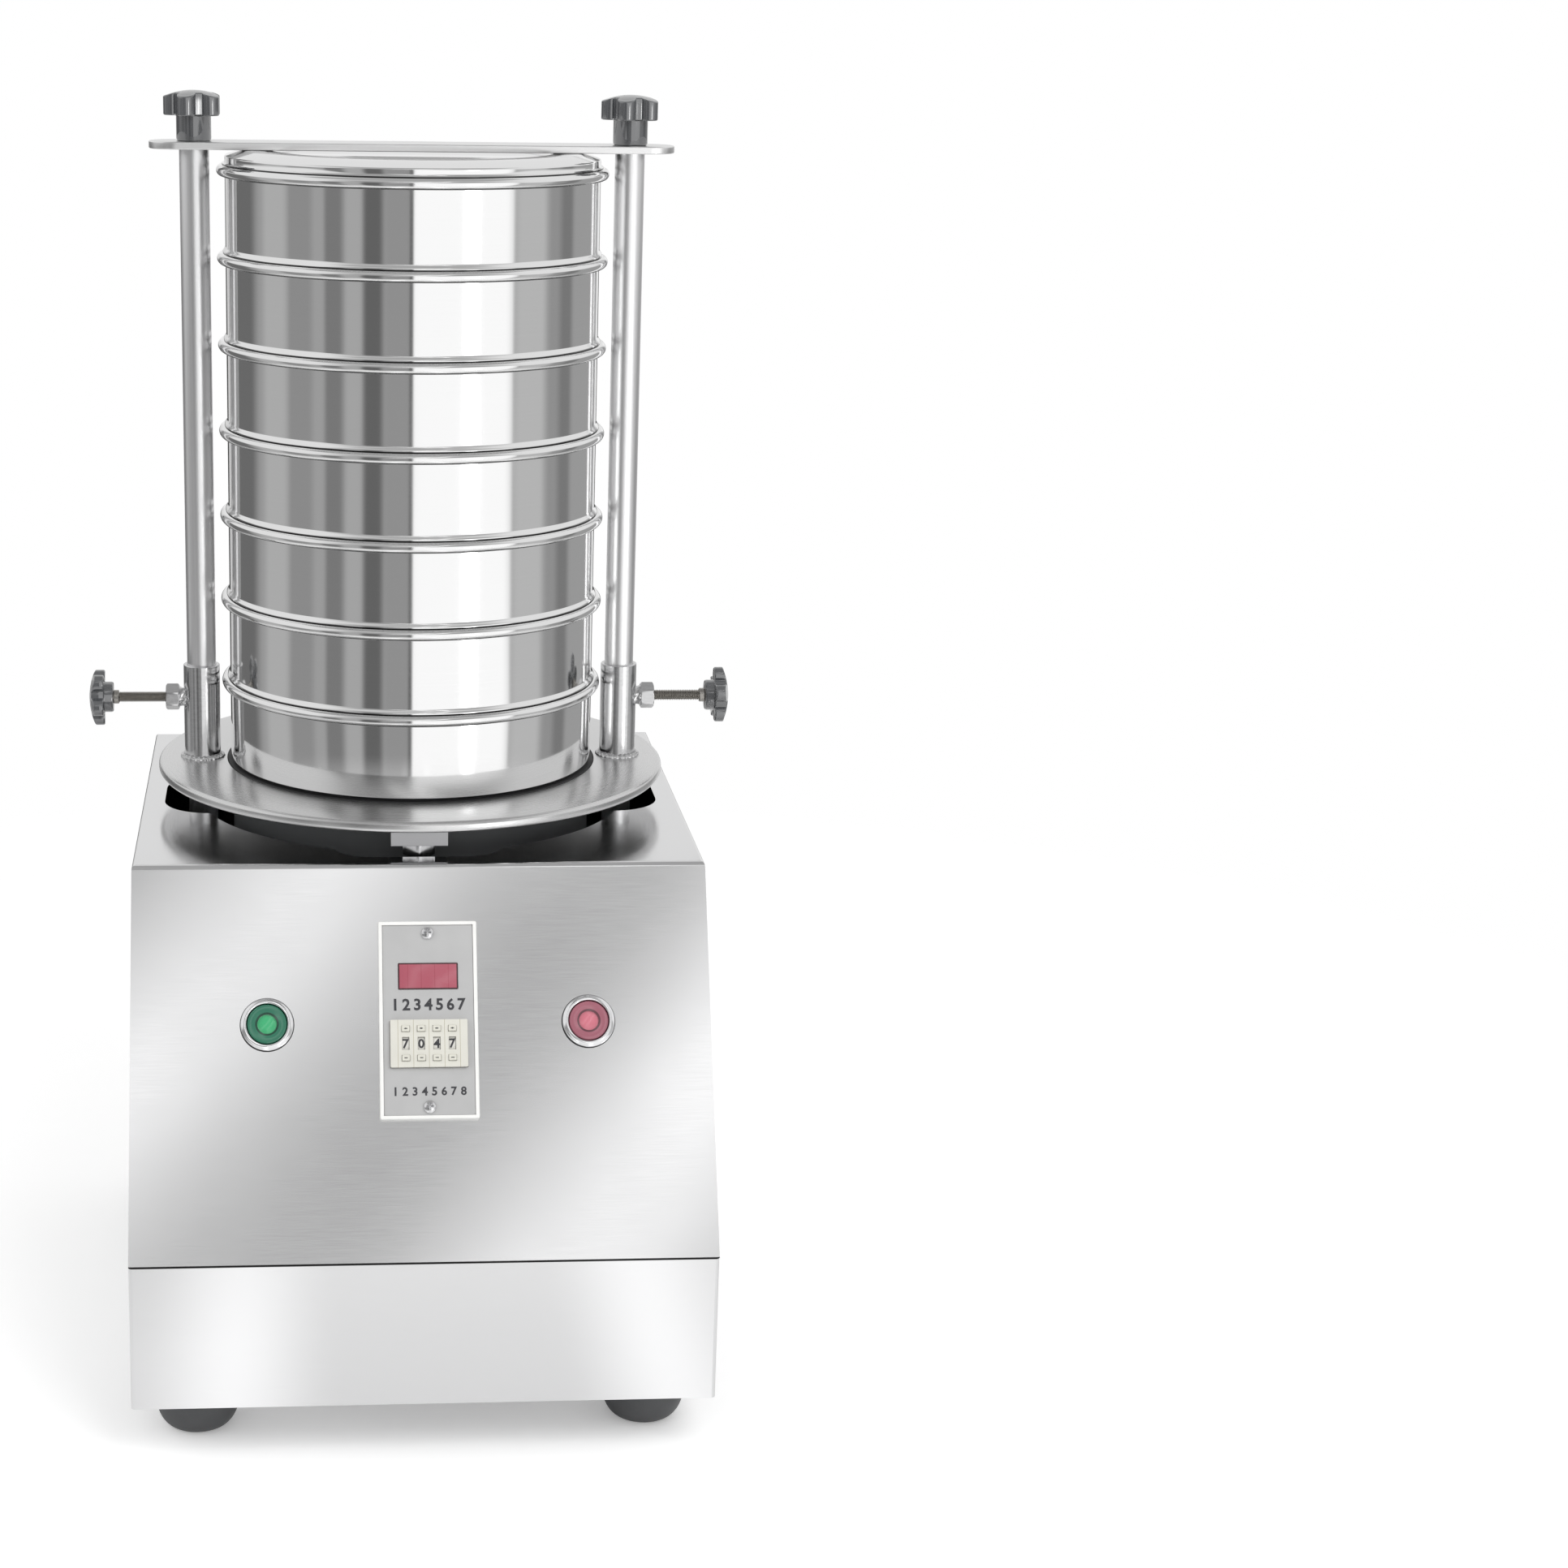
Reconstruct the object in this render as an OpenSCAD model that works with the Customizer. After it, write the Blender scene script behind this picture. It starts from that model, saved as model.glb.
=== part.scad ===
/* [Sieve stack] */
// Inside diameter of the sieve frames
sieve_bore = 200; // [196:0.5:201]
// Sheet thickness of the sieve frames, pan and lid
frame_t = 1; // [0.8:0.1:1.4]
// Height that each sieve adds to the stack
sieve_pitch = 46.6; // [40:0.2:60]
// Thickness of the rolled bead at each rim
bead_d = 6; // [5:0.2:7]
// Depth of the skirt that nests in the frame below
skirt_depth = 10; // [6:0.5:16]
// Radial clearance of a nested skirt
skirt_gap = 0.3; // [0.2:0.05:0.6]
// How far the shoulder above each skirt flares out
shoulder_flare = 1.4; // [1:0.1:2.2]
// Height over which the shoulder runs back to the wall
shoulder_h = 3; // [2:0.25:6]
// Height of the receiving pan up to its rim
pan_h = 47.6; // [42:0.2:60]
// Bend radius between the pan's wall and floor
pan_bend = 2.5; // [2:0.25:5]
// Thickness of the sieve cloths
cloth_t = 0.6; // [0.4:0.1:1.2]
// Square opening of the coarse top sieve
aperture = 16; // [12:1:22]
// Bar between two openings of the top sieve
aperture_bar = 3; // [2:0.5:5]
// Height of the lid above the top rim
lid_rise = 7.8; // [6:0.2:12]
// Width of the lid's sloping shoulder
lid_shoulder = 11; // [6:0.5:16]
// Width of the lid's flat ring
lid_ring = 14; // [8:0.5:24]
// Depth of the dish in the lid's middle
lid_dish = 3; // [1.5:0.25:4.5]

/* [Table] */
// How far the round support plate reaches past the sleeves' welds
plate_margin = 11.84; // [8:0.02:14]
// Thickness of the support plate
plate_t = 6; // [5:0.5:10]
// Rounding of the plate's rim
plate_edge = 2.4; // [1:0.2:2.4]
// Thickness of the rubber mat under the pan
mat_t = 2; // [1.5:0.25:3]
// How far the mat shows around the pan
mat_margin = 2; // [1:0.25:4]
// Gap between the cover's top and the plate
table_gap = 16.5; // [12:0.5:24]

/* [Clamp frame] */
// Gap between the sieves' beads and the posts
post_gap = 3.5; // [2:0.25:6]
// Diameter of the posts
post_d = 16; // [14:0.5:17]
// Length of post below the support plate
post_below = 59; // [30:1:70]
// Diameter of the threaded stud on each post
stud_d = 8; // [6:0.5:10]
// Width of the crossbar
bar_w = 30; // [26:1:40]
// Thickness of the crossbar
bar_t = 4; // [3:0.5:8]
// Straight length of crossbar outside the posts' holes
bar_overhang = 9; // [4:0.5:16]
// Wall of the sleeves that hold the posts
sleeve_wall = 2; // [1.5:0.25:3]
// Height of the sleeves
sleeve_h = 53; // [46:1:80]
// Size of the weld fillet at the foot of a sleeve
weld_leg = 2.5; // [1.5:0.25:4]
// Clearance all round a sliding or turning fit
run_gap = 0.06; // [0.03:0.01:0.1]

/* [Side clamps] */
// Height of the side screws above the plate
clamp_h = 34.2; // [28:0.2:42]
// Diameter of the side screws
screw_d = 6; // [5:0.5:7]
// Width across flats of the welded nuts
nut_af = 13; // [12:0.5:16]
// Length of the welded nuts
nut_l = 7.5; // [5:0.25:10]
// Length of the weld neck between sleeve and nut
neck_l = 2.4; // [2:0.2:5]
// Bare screw between nut and collar
screw_reach = 26.1; // [14:0.5:40]
// Length of the collar at each side knob
collar_l = 3; // [2:0.5:5]
// Wall of the collar at each side knob
collar_wall = 0.8; // [0.6:0.1:1.5]
// Gap between the screw's tip and the post
tip_gap = 0.1; // [0.05:0.05:0.3]

/* [Star knobs] */
// Diameter over the lobes
knob_d = 32; // [28:0.5:36]
// Number of lobes
knob_lobes = 5; // [4:1:7]
// Radius of the lobes
lobe_r = 4.8; // [4:0.2:5.4]
// Depth of the valleys between the lobes
valley_depth = 5.8; // [4:0.2:6]
// Hub diameter of the top knobs
top_hub_d = 18.6; // [16:0.2:20]
// Hub height of the top knobs
top_hub_h = 13.3; // [9:0.1:20]
// Head height of the top knobs, with the dome
top_head_h = 13.2; // [11:0.1:18]
// Hub diameter of the side knobs
side_hub_d = 17; // [15:0.5:20]
// Hub length of the side knobs
side_hub_l = 5; // [3:0.5:10]
// Head thickness of the side knobs, with the dome
side_head_l = 8.3; // [7:0.1:12]
// Height of the dome on a knob's face
dome_h = 3; // [1:0.2:4]
// Diameter of the brass insert in a top knob
insert_d = 12; // [11:0.5:13]
// Length of the brass insert in a top knob
insert_l = 17; // [13:0.5:19]

/* [Casing] */
// How far the casing reaches past the support plate at each side
case_margin = 8.6; // [6:0.2:14]
// Distance of the sieves' middle from the casing's rear
axis_to_rear = 142; // [138:1:170]
// Distance from the motor cage's flange forward to the panel's top edge
panel_room = 34; // [30:1:60]
// Height of the base tray
base_h = 78; // [68:1:100]
// Height of the upper cover
cover_h = 181.5; // [176:0.5:200]
// How far the control panel slopes forward
panel_run = 100; // [90:1:110]
// Thickness of the casing's sheet
sheet_t = 1.5; // [1:0.1:2]
// Bend radius between panel and top
bend_r = 4; // [3:0.5:8]
// Rounding of the cover's upper side edges
edge_r = 2.2; // [2.1:0.1:4]
// Gap that the opening in the cover leaves around the cage's flange and the posts
mouth_gap = 13; // [8:0.5:15]
// Width of the opening's side lobes
mouth_lobe_w = 80; // [60:1:90]
// Gap that the opening's front and rear bays leave beyond the carrier's nuts
bay_gap = 3.5; // [2:0.25:5]
// Width of the opening's front and rear bays
mouth_bay_w = 90; // [76:1:100]
// Height of the lip that joins tray and cover
lip_h = 16; // [14:1:24]
// Height of the rubber feet
foot_h = 32; // [26:1:40]
// Diameter of the rubber feet
foot_d = 44; // [40:1:52]
// Diameter of a foot's flat bottom
foot_flat_d = 24; // [22:1:28]
// Height of a foot's rounded lower part
foot_round_h = 16; // [10:1:20]
// Distance of the feet from the casing's front and rear
foot_inset_y = 50; // [44:1:60]
// Distance of the feet from the casing's sides
foot_inset_x = 32; // [28:1:40]
// Head diameter of the casing's screws
head_d = 9; // [7:0.5:11]
// Shank diameter of the casing's screws
shank_d = 5; // [4:0.5:5]

/* [Control panel] */
// Sideways place of the controls' middle line
controls_x = 3; // [-4:0.5:5]
// Distance between the two push buttons
button_span = 166; // [150:1:176]
// Distance of the buttons below the panel's top edge
button_drop = 84.3; // [70:0.5:100]
// Width of the button bezels' ring around the cap
bezel_ring = 3.8; // [3:0.1:5]
// Height of the button bezels
bezel_h = 3.6; // [3:0.2:5]
// Diameter of the button caps
cap_d = 20.4; // [18:0.2:21]
// How far a button cap stands out of the panel
cap_proud = 3.2; // [3:0.1:5]
// Travel of the push buttons
button_travel = 3; // [2:0.25:3]
// Length of the switch behind each button
switch_l = 34; // [28:1:38]
// Width of the timer's face beside the push wheel block
face_side = 3.6; // [2:0.2:6]
// Height of the timer below the push wheel block
face_foot = 26.6; // [24:0.2:30]
// Distance of the timer below the panel's top edge
timer_drop = 31.6; // [26:0.2:36]
// How far the timer's frame stands out of the panel
timer_proud = 5; // [4.5:0.25:7]
// Depth of the timer behind the panel
timer_depth = 55; // [48:1:56]
// Width of the timer frame's border
timer_border = 2; // [1.5:0.25:2.5]
// Width of the display window
window_w = 30.8; // [26:0.2:36]
// Height of the display window
window_h = 13.7; // [10:0.1:16]
// Distance of the window below the timer's top
window_drop = 22; // [16:0.2:24]
// Width of the push wheel block beside the outer wheels' places
block_side = 3.9; // [3:0.1:5]
// Height of the push wheel block above and below its wheels
block_rim = 2.8; // [2.5:0.1:4]
// Distance of the push wheel block below the timer's top
wheels_drop = 51.8; // [46:0.2:56]
// Diameter of a digit wheel
wheel_d = 19; // [18:0.25:19.5]
// Thickness of a digit wheel
wheel_t = 3.4; // [2.8:0.1:3.8]
// Spacing of the digit wheels
wheel_pitch = 8; // [7.6:0.1:8.4]
// Travel of the push tabs
tab_travel = 1.5; // [1:0.1:1.6]

/* [Inside] */
// Gap between the posts and the motor cage
cage_gap = 9; // [8:0.5:12]
// Wall of the motor cage
cage_wall = 4; // [3:0.5:5]
// Height of the motor cage
cage_h = 98; // [92:1:104]
// Thickness of the carrier bar under the plate
carrier_t = 10; // [8:0.5:11]
// Width of the carrier bar
carrier_w = 30; // [24:1:36]
// Gap between the cage and the carrier bar's nuts
carrier_nut_gap = 7; // [5:0.5:7.5]
// Gap between the cage's wall and the motor
motor_gap = 21; // [18:1:26]
// Height of the motor's barrel
motor_h = 70; // [60:1:74]
// Thickness of the motor's end bells
bell_t = 14; // [12:0.5:14.5]
// Diameter of the motor's shaft
shaft_d = 20; // [16:1:22]
// Outside diameter of the bearings
bearing_d = 47; // [44:1:52]
// Diameter of the rotor's core
rotor_d = 70; // [60:1:76]
// Air gap between rotor and stator
air_gap = 0.5; // [0.3:0.1:1]
// Radius of the eccentric weights
weight_r = 52; // [40:1:58]
// Thickness of the eccentric weights
weight_t = 16; // [12:1:17]
// How far the springs' middles stand outside the cage's sides
spring_out = 5; // [3:0.5:10]
// How far the springs' middles stand inside the cage's front and rear
spring_in = 20; // [14:0.5:22]
// Outside diameter of the springs
spring_d = 36; // [32:1:40]
// Wire of the springs
wire_d = 4; // [3:0.25:5]
// Turns of a spring
spring_turns = 7; // [5:1:9]
// Thickness of the spring beams
beam_t = 3; // [2.5:0.25:4]
// Width of the spring beams
beam_w = 50; // [46:1:56]
// Height of the spring beams' tops above the tray's bottom
beam_rise = 60; // [54:1:64]

/* [Hidden] */

eps = 0.01;
left = -1;
right = 1;
sieve_count = 6;
fine = 96;
medium = 48;
small = 24;
knob_edge = 1;

// Plan of the machine, from the sieves outwards
bore_r = sieve_bore / 2;
wall_r = bore_r + frame_t;
skirt_r = bore_r - skirt_gap;
bead_r = bead_d / 2;
bead_cr = wall_r + bead_r / 2;
post_r = post_d / 2;
post_x = bead_cr + bead_r + post_gap + post_r;
sleeve_r = post_r + run_gap + sleeve_wall;
plate_r = post_x + sleeve_r + weld_leg + plate_margin;
case_w = 2 * (plate_r + case_margin);
cage_r = post_x - post_r - cage_gap;
flange_lip = 6;
flange_r = cage_r + flange_lip;
spring_x = cage_r + spring_out;
spring_y = cage_r - spring_in;
fix_nut_af = 17;
carrier_bolt_y = cage_r + fix_nut_af / 2 + carrier_nut_gap;
base_depth = axis_to_rear + flange_r + panel_room + panel_run;

// The inlet's flange is the rearmost face, so the casing sits half of it forward of the middle
inlet_flange_t = 3;
rear_y = (base_depth - inlet_flange_t) / 2;
front_y = rear_y - base_depth;
axis_y = rear_y - axis_to_rear;

base_z = foot_h;
seam_z = base_z + base_h;
top_z = seam_z + cover_h;
plate_z = top_z + table_gap;
table_z = plate_z + plate_t;
rim_z = table_z + pan_h;
stack_z = rim_z + sieve_count * sieve_pitch;
bar_z = stack_z + lid_rise;
knob_z = bar_z + bar_t;

// The panel leans back, with its own frame: x across, y up the slope, z straight out
panel_l = norm([panel_run, cover_h]);
panel_tilt = atan2(cover_h, panel_run);
panel_top_y = front_y + panel_run;
module on_panel(x, drop, out = 0) {
    translate([x, panel_top_y, top_z]) rotate([panel_tilt, 0, 0]) translate([0, -drop, out]) children();
}
module on_axis(z = 0) {
    translate([0, axis_y, z]) children();
}

// Points of an arc, and the mitred point beside point i of a line, at a distance t from it
function arc(c, r, a, b, n) = [for (i = [0:n]) c + r * [cos(a + (b - a) * i / n), sin(a + (b - a) * i / n)]];
function unit(v) = v / norm(v);
function side_of(a, b) = [a[1] - b[1], b[0] - a[0]] / norm(b - a);
function mitre(p, i, t) =
    let (before = side_of(p[max(i - 1, 0)], p[max(i, 1)]),
         after = side_of(p[min(i, len(p) - 2)], p[min(i + 1, len(p) - 1)]),
         m = unit(before + after))
    p[i] + m * t / (m * before);

module rounded(w, h, r) {
    square([w - 2 * r, h], center = true);
    square([w, h - 2 * r], center = true);
    for (x = [-1, 1], y = [-1, 1]) translate([x * (w / 2 - r), y * (h / 2 - r)]) circle(r, $fn = small);
}
module plate(w, h, t, r) {
    linear_extrude(t) rounded(w, h, r);
}
module bar_end(x, d) {
    translate([x, 0]) circle(d = d, $fn = medium);
}
module at_posts() {
    for (s = [left, right]) translate([s * post_x, axis_y, 0]) children();
}
module at_springs() {
    for (x = [-1, 1], y = [-1, 1]) translate([x * spring_x, axis_y + y * spring_y, 0]) children();
}
module at_feet() {
    for (x = [-1, 1], y = [front_y + foot_inset_y, rear_y - foot_inset_y])
        translate([x * (case_w / 2 - foot_inset_x), y, 0]) children();
}

// Casing

tray_corner_r = 2;
lip_drop = 14;
// The lip stays behind the sloping front, whose sheet lies this far back at the lip's top
lip_front_gap = (lip_h * panel_run + sheet_t * panel_l) / cover_h + 1;
foot_hole_d = 8.4;
inlet_x = -80;
inlet_z = base_z + base_h / 2;
inlet_w = 28;
inlet_h = 20;
beam_screw_z = base_z + base_h / 2;
cover_screw_z = seam_z + lip_h / 2;
screw_gap = 0.2;
beam_ys = [axis_y - spring_y, axis_y + spring_y];

module at_side_screws() {
    for (s = [left, right], y = beam_ys, z = [beam_screw_z, cover_screw_z])
        translate([s * case_w / 2, y, z]) rotate([0, s * 90, 0]) children();
}
module base_tray() {
    inside_w = case_w - 2 * sheet_t;
    inside_d = base_depth - 2 * sheet_t;
    color("silver") translate([0, (front_y + rear_y) / 2, 0]) difference() {
        union() {
            translate([0, 0, base_z]) plate(case_w, base_depth, base_h, tray_corner_r);
            translate([0, 0, seam_z - lip_drop]) plate(inside_w, inside_d, lip_drop + lip_h, tray_corner_r);
        }
        translate([0, 0, base_z + sheet_t])
            plate(inside_w, inside_d, base_h - lip_drop - 2 * sheet_t, tray_corner_r);
        translate([0, 0, base_z + sheet_t])
            plate(inside_w - 2 * sheet_t, inside_d - 2 * sheet_t, base_h + lip_h, tray_corner_r);
        translate([0, -(front_y + rear_y) / 2, 0]) {
            translate([-case_w, front_y - 1, seam_z])
                cube([2 * case_w, lip_front_gap + 1, lip_h + 1]);
            at_feet() translate([0, 0, base_z - eps])
                cylinder(d = foot_hole_d, h = sheet_t + 2 * eps, $fn = small);
            at_side_screws() translate([0, 0, -4 * sheet_t])
                cylinder(d = shank_d + 2 * screw_gap, h = 5 * sheet_t, $fn = small);
            translate([inlet_x, rear_y, inlet_z]) cube([inlet_w, 4 * sheet_t, inlet_h], center = true);
            for (s = [-1, 1]) translate([inlet_x + s * inlet_screw_span / 2, rear_y, inlet_z]) rotate([90, 0, 0])
                cylinder(d = 3, h = 4 * sheet_t, center = true, $fn = small);
        }
    }
}

// Outline of the cover seen from the side, moved in by the given distance
module cover_side(inset) {
    slope = panel_l / cover_h;
    z1 = top_z - inset;
    z0 = inset > 0 ? seam_z - 1 : seam_z;
    run = panel_run / cover_h;
    y0 = front_y + inset * slope + (z0 - seam_z) * run;
    y1 = front_y + inset * slope + (z1 - seam_z) * run;
    y2 = rear_y - inset;
    r = max(bend_r - inset, 1);
    polygon(concat(
        [[y0, z0]],
        arc([y1 + r * tan(panel_tilt / 2), z1 - r], r, 90 + panel_tilt, 90, 8),
        arc([y2 - r, z1 - r], r, 90, 0, 8),
        [[y2, z0]]
    ));
}
module cover_front(inset) {
    w = case_w / 2 - inset;
    z1 = top_z - inset;
    r = max(edge_r - inset, 0.6);
    polygon(concat(
        [[w, seam_z - 2]],
        arc([w - r, z1 - r], r, 0, 90, 6),
        arc([r - w, z1 - r], r, 90, 180, 6),
        [[-w, seam_z - 2]]
    ));
}
module cover_body(inset) {
    intersection() {
        rotate([90, 0, 90]) translate([0, 0, -case_w]) linear_extrude(2 * case_w) cover_side(inset);
        rotate([90, 0, 0]) translate([0, 0, -base_depth]) linear_extrude(2 * base_depth) cover_front(inset);
    }
}
mouth_r = flange_r + mouth_gap;
mouth_lobe = post_x + post_r + mouth_gap;
mouth_bay = carrier_bolt_y + fix_nut_af / 2 + bay_gap;
mouth_lobe_r = 26;
mouth_bay_r = 20;
module mouth() {
    circle(mouth_r, $fn = fine);
    rounded(2 * mouth_lobe, mouth_lobe_w, mouth_lobe_r);
    rounded(mouth_bay_w, 2 * mouth_bay, mouth_bay_r);
}
timer_body_gap = 0.4;
wheels_w = 4 * wheel_pitch + 2 * block_side;
wheels_h = wheel_d + 2 * block_rim;
timer_w = wheels_w + 2 * (face_side + timer_border);
timer_h = wheels_drop + wheels_h + face_foot;
bezel_d = cap_d + 2 * bezel_ring;
barrel_r = cap_d / 2 + 0.2 + 0.8;
button_hole_r = barrel_r + 0.2;
timer_mid = timer_drop + timer_h / 2;
timer_body_w = timer_w - 6;
timer_body_h = timer_h - 6;
module upper_cover() {
    color("silver") difference() {
        cover_body(0);
        cover_body(sheet_t);
        on_axis(top_z - 2 * sheet_t) linear_extrude(4 * sheet_t) mouth();
        on_panel(controls_x, timer_mid, -3 * sheet_t)
            plate(timer_body_w + 2 * timer_body_gap, timer_body_h + 2 * timer_body_gap, 6 * sheet_t, 1);
        for (s = [left, right]) on_panel(controls_x + s * button_span / 2, button_drop, -3 * sheet_t)
            cylinder(r = button_hole_r, h = 6 * sheet_t, $fn = medium);
        at_side_screws() translate([0, 0, -4 * sheet_t])
            cylinder(d = shank_d + 2 * screw_gap, h = 5 * sheet_t, $fn = small);
    }
}

// A round headed screw whose head stands on z = 0
module round_screw(d, shank, l) {
    head_h = d * 0.34;
    rotate_extrude($fn = small) polygon(concat(
        [[0, -l], [shank / 2, -l], [shank / 2, 0], [d / 2, 0]],
        [for (a = [15:15:90]) [d / 2 * cos(a), head_h * sin(a)]]
    ));
}
side_shank_l = 10;
timer_screw_d = 7;
timer_screw_inset = 6.3;
timer_screw_drops = [timer_screw_inset, timer_h - timer_screw_inset];
timer_screw_l = 6;
face_out = timer_proud - 0.8;
inlet_screw_span = 40;
module case_screws() {
    color("gainsboro") {
        at_side_screws() round_screw(head_d, shank_d, side_shank_l);
        for (d = timer_screw_drops)
            on_panel(controls_x, timer_drop + d, face_out) round_screw(timer_screw_d, 3, timer_screw_l);
        for (s = [left, right])
            translate([inlet_x + s * inlet_screw_span / 2, rear_y + inlet_flange_t - 1.2, inlet_z])
                rotate([-90, 0, 0]) round_screw(3.5, 2.6, 6);
    }
}

bolt_d = 8;
bolt_head_d = 13;
bolt_head_h = 5.5;
foot_pocket_h = 10;
module rubber_feet() {
    flat_r = foot_flat_d / 2;
    bulge = foot_d / 2 - flat_r;
    color("dimgray") at_feet() difference() {
        rotate_extrude($fn = medium) polygon(concat(
            [[0, 0], [flat_r, 0]],
            [for (a = [10:10:90]) [flat_r + bulge * sin(a), foot_round_h * (1 - cos(a))]],
            [[flat_r + bulge, foot_h], [0, foot_h]]
        ));
        translate([0, 0, -eps]) cylinder(d = bolt_head_d + 2, h = foot_pocket_h, $fn = small);
        cylinder(d = bolt_d + 0.4, h = foot_h + eps, $fn = small);
    }
}
washer_t = 1.6;
nut_h = 6.5;
module hex(af, h) {
    cylinder(d = af / cos(30), h = h, $fn = 6);
}
module foot_bolts() {
    seat = base_z + sheet_t;
    color("lightgray") at_feet() {
        translate([0, 0, foot_pocket_h - eps - bolt_head_h]) hex(bolt_head_d * 0.95, bolt_head_h);
        translate([0, 0, foot_pocket_h - 2 * eps])
            cylinder(d = bolt_d, h = seat + washer_t + nut_h + 3 - foot_pocket_h, $fn = small);
        translate([0, 0, seat]) cylinder(d = 17, h = washer_t, $fn = small);
        translate([0, 0, seat + washer_t]) hex(13, nut_h);
    }
}

// Springs and what carries them

cup_t = 2;
cup_rim_h = 7;
cup_gap = 0.6;
beam_z = base_z + beam_rise;
cage_z = plate_z - carrier_t - cage_h;
flange_t = 6;
spring_z0 = beam_z + cup_t;
spring_z1 = cage_z - cup_t;
tab_gap = 0.1;
module spring_cup() {
    difference() {
        cylinder(d = spring_d + 2 * cup_gap + 2 * cup_t, h = cup_t + cup_rim_h, $fn = medium);
        translate([0, 0, cup_t]) cylinder(d = spring_d + 2 * cup_gap, h = cup_rim_h + eps, $fn = medium);
    }
}
module spring_beams() {
    l = case_w - 2 * sheet_t - 2 * tab_gap;
    tab_h = beam_rise - base_h / 2 + 14;
    color("slategray") for (y = beam_ys) translate([0, y, 0]) difference() {
        union() {
            translate([-l / 2, -beam_w / 2, beam_z - beam_t]) cube([l, beam_w, beam_t]);
            for (s = [-1, 1]) translate([-l / 2 + 12, s * (beam_w - beam_t) / 2 - beam_t / 2, beam_z - 22])
                cube([l - 24, beam_t, 22]);
            for (s = [0, 1]) translate([-l / 2 + s * (l - beam_t), -beam_w / 2 + 6, beam_z - tab_h])
                cube([beam_t, beam_w - 12, tab_h]);
            for (s = [-1, 1]) translate([s * spring_x, 0, beam_z - eps]) spring_cup();
        }
        for (s = [-1, 1]) translate([s * case_w / 2, 0, beam_screw_z]) rotate([0, 90, 0])
            cylinder(d = shank_d + 2 * screw_gap, h = 4 * (sheet_t + beam_t), center = true, $fn = small);
    }
}
wire_sides = 6;
wire_steps = 12;
module coil_springs() {
    n = spring_turns * wire_steps;
    r = (spring_d - wire_d) / 2;
    w = wire_d / 2;
    rise = spring_z1 - spring_z0 - wire_d;
    function around(i, j) =
        let (a = 360 * i / wire_steps, b = 360 * j / wire_sides, q = r + w * cos(b))
        [q * cos(a), q * sin(a), spring_z0 + w + rise * i / n + w * sin(b)];
    points = [for (i = [0:n], j = [0:wire_sides - 1]) around(i, j)];
    function id(i, j) = i * wire_sides + j % wire_sides;
    walls = [for (i = [0:n - 1], j = [0:wire_sides - 1])
        each [[id(i, j), id(i, j + 1), id(i + 1, j + 1)], [id(i, j), id(i + 1, j + 1), id(i + 1, j)]]];
    first = [for (j = [wire_sides - 1:-1:0]) id(0, j)];
    last = [for (j = [0:wire_sides - 1]) id(n, j)];
    color("darkgray") at_springs() polyhedron(points, concat(walls, [first, last]));
}

// Timer

window_out = timer_proud - 0.4;
floor_out = 2;
block_out = timer_proud + 1.5;
block_depth = 18;
timer_fit = 0.15;
timer_corner = 0.6;
window_mid = timer_drop + window_drop + window_h / 2;
wheels_mid = timer_drop + wheels_drop + wheels_h / 2;
module timer_cut(w, h, t, mid, out) {
    on_panel(controls_x, mid, out) plate(w, h, t, timer_corner);
}
module timer_housing() {
    inner_w = timer_w - 2 * timer_border;
    inner_h = timer_h - 2 * timer_border;
    color("white") difference() {
        union() {
            timer_cut(timer_w, timer_h, timer_proud, timer_mid, 0);
            timer_cut(timer_body_w, timer_body_h, timer_depth + eps, timer_mid, -timer_depth);
        }
        timer_cut(inner_w, inner_h, timer_proud, timer_mid, floor_out);
        timer_cut(wheels_w + 2 * timer_fit, wheels_h + 2 * timer_fit, 2 * (block_depth + timer_proud), wheels_mid,
            -block_depth - timer_fit);
        for (d = timer_screw_drops) on_panel(controls_x, timer_drop + d, -timer_screw_l)
            cylinder(d = 3.4, h = 20, $fn = small);
    }
}
module timer_faceplate() {
    w = timer_w - 2 * timer_border - 2 * timer_fit;
    h = timer_h - 2 * timer_border - 2 * timer_fit;
    color("lightgray") difference() {
        timer_cut(w, h, face_out - floor_out, timer_mid, floor_out);
        timer_cut(wheels_w + 2 * timer_fit, wheels_h + 2 * timer_fit, 10, wheels_mid, 0);
        timer_cut(window_w + 2 * timer_fit, window_h + 2 * timer_fit, 10, window_mid, 0);
        for (d = timer_screw_drops) on_panel(controls_x, timer_drop + d, 0)
            cylinder(d = 3.4, h = 20, $fn = small);
    }
}
module timer_window() {
    color("palevioletred") timer_cut(window_w, window_h, window_out - floor_out, window_mid, floor_out);
}

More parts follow.
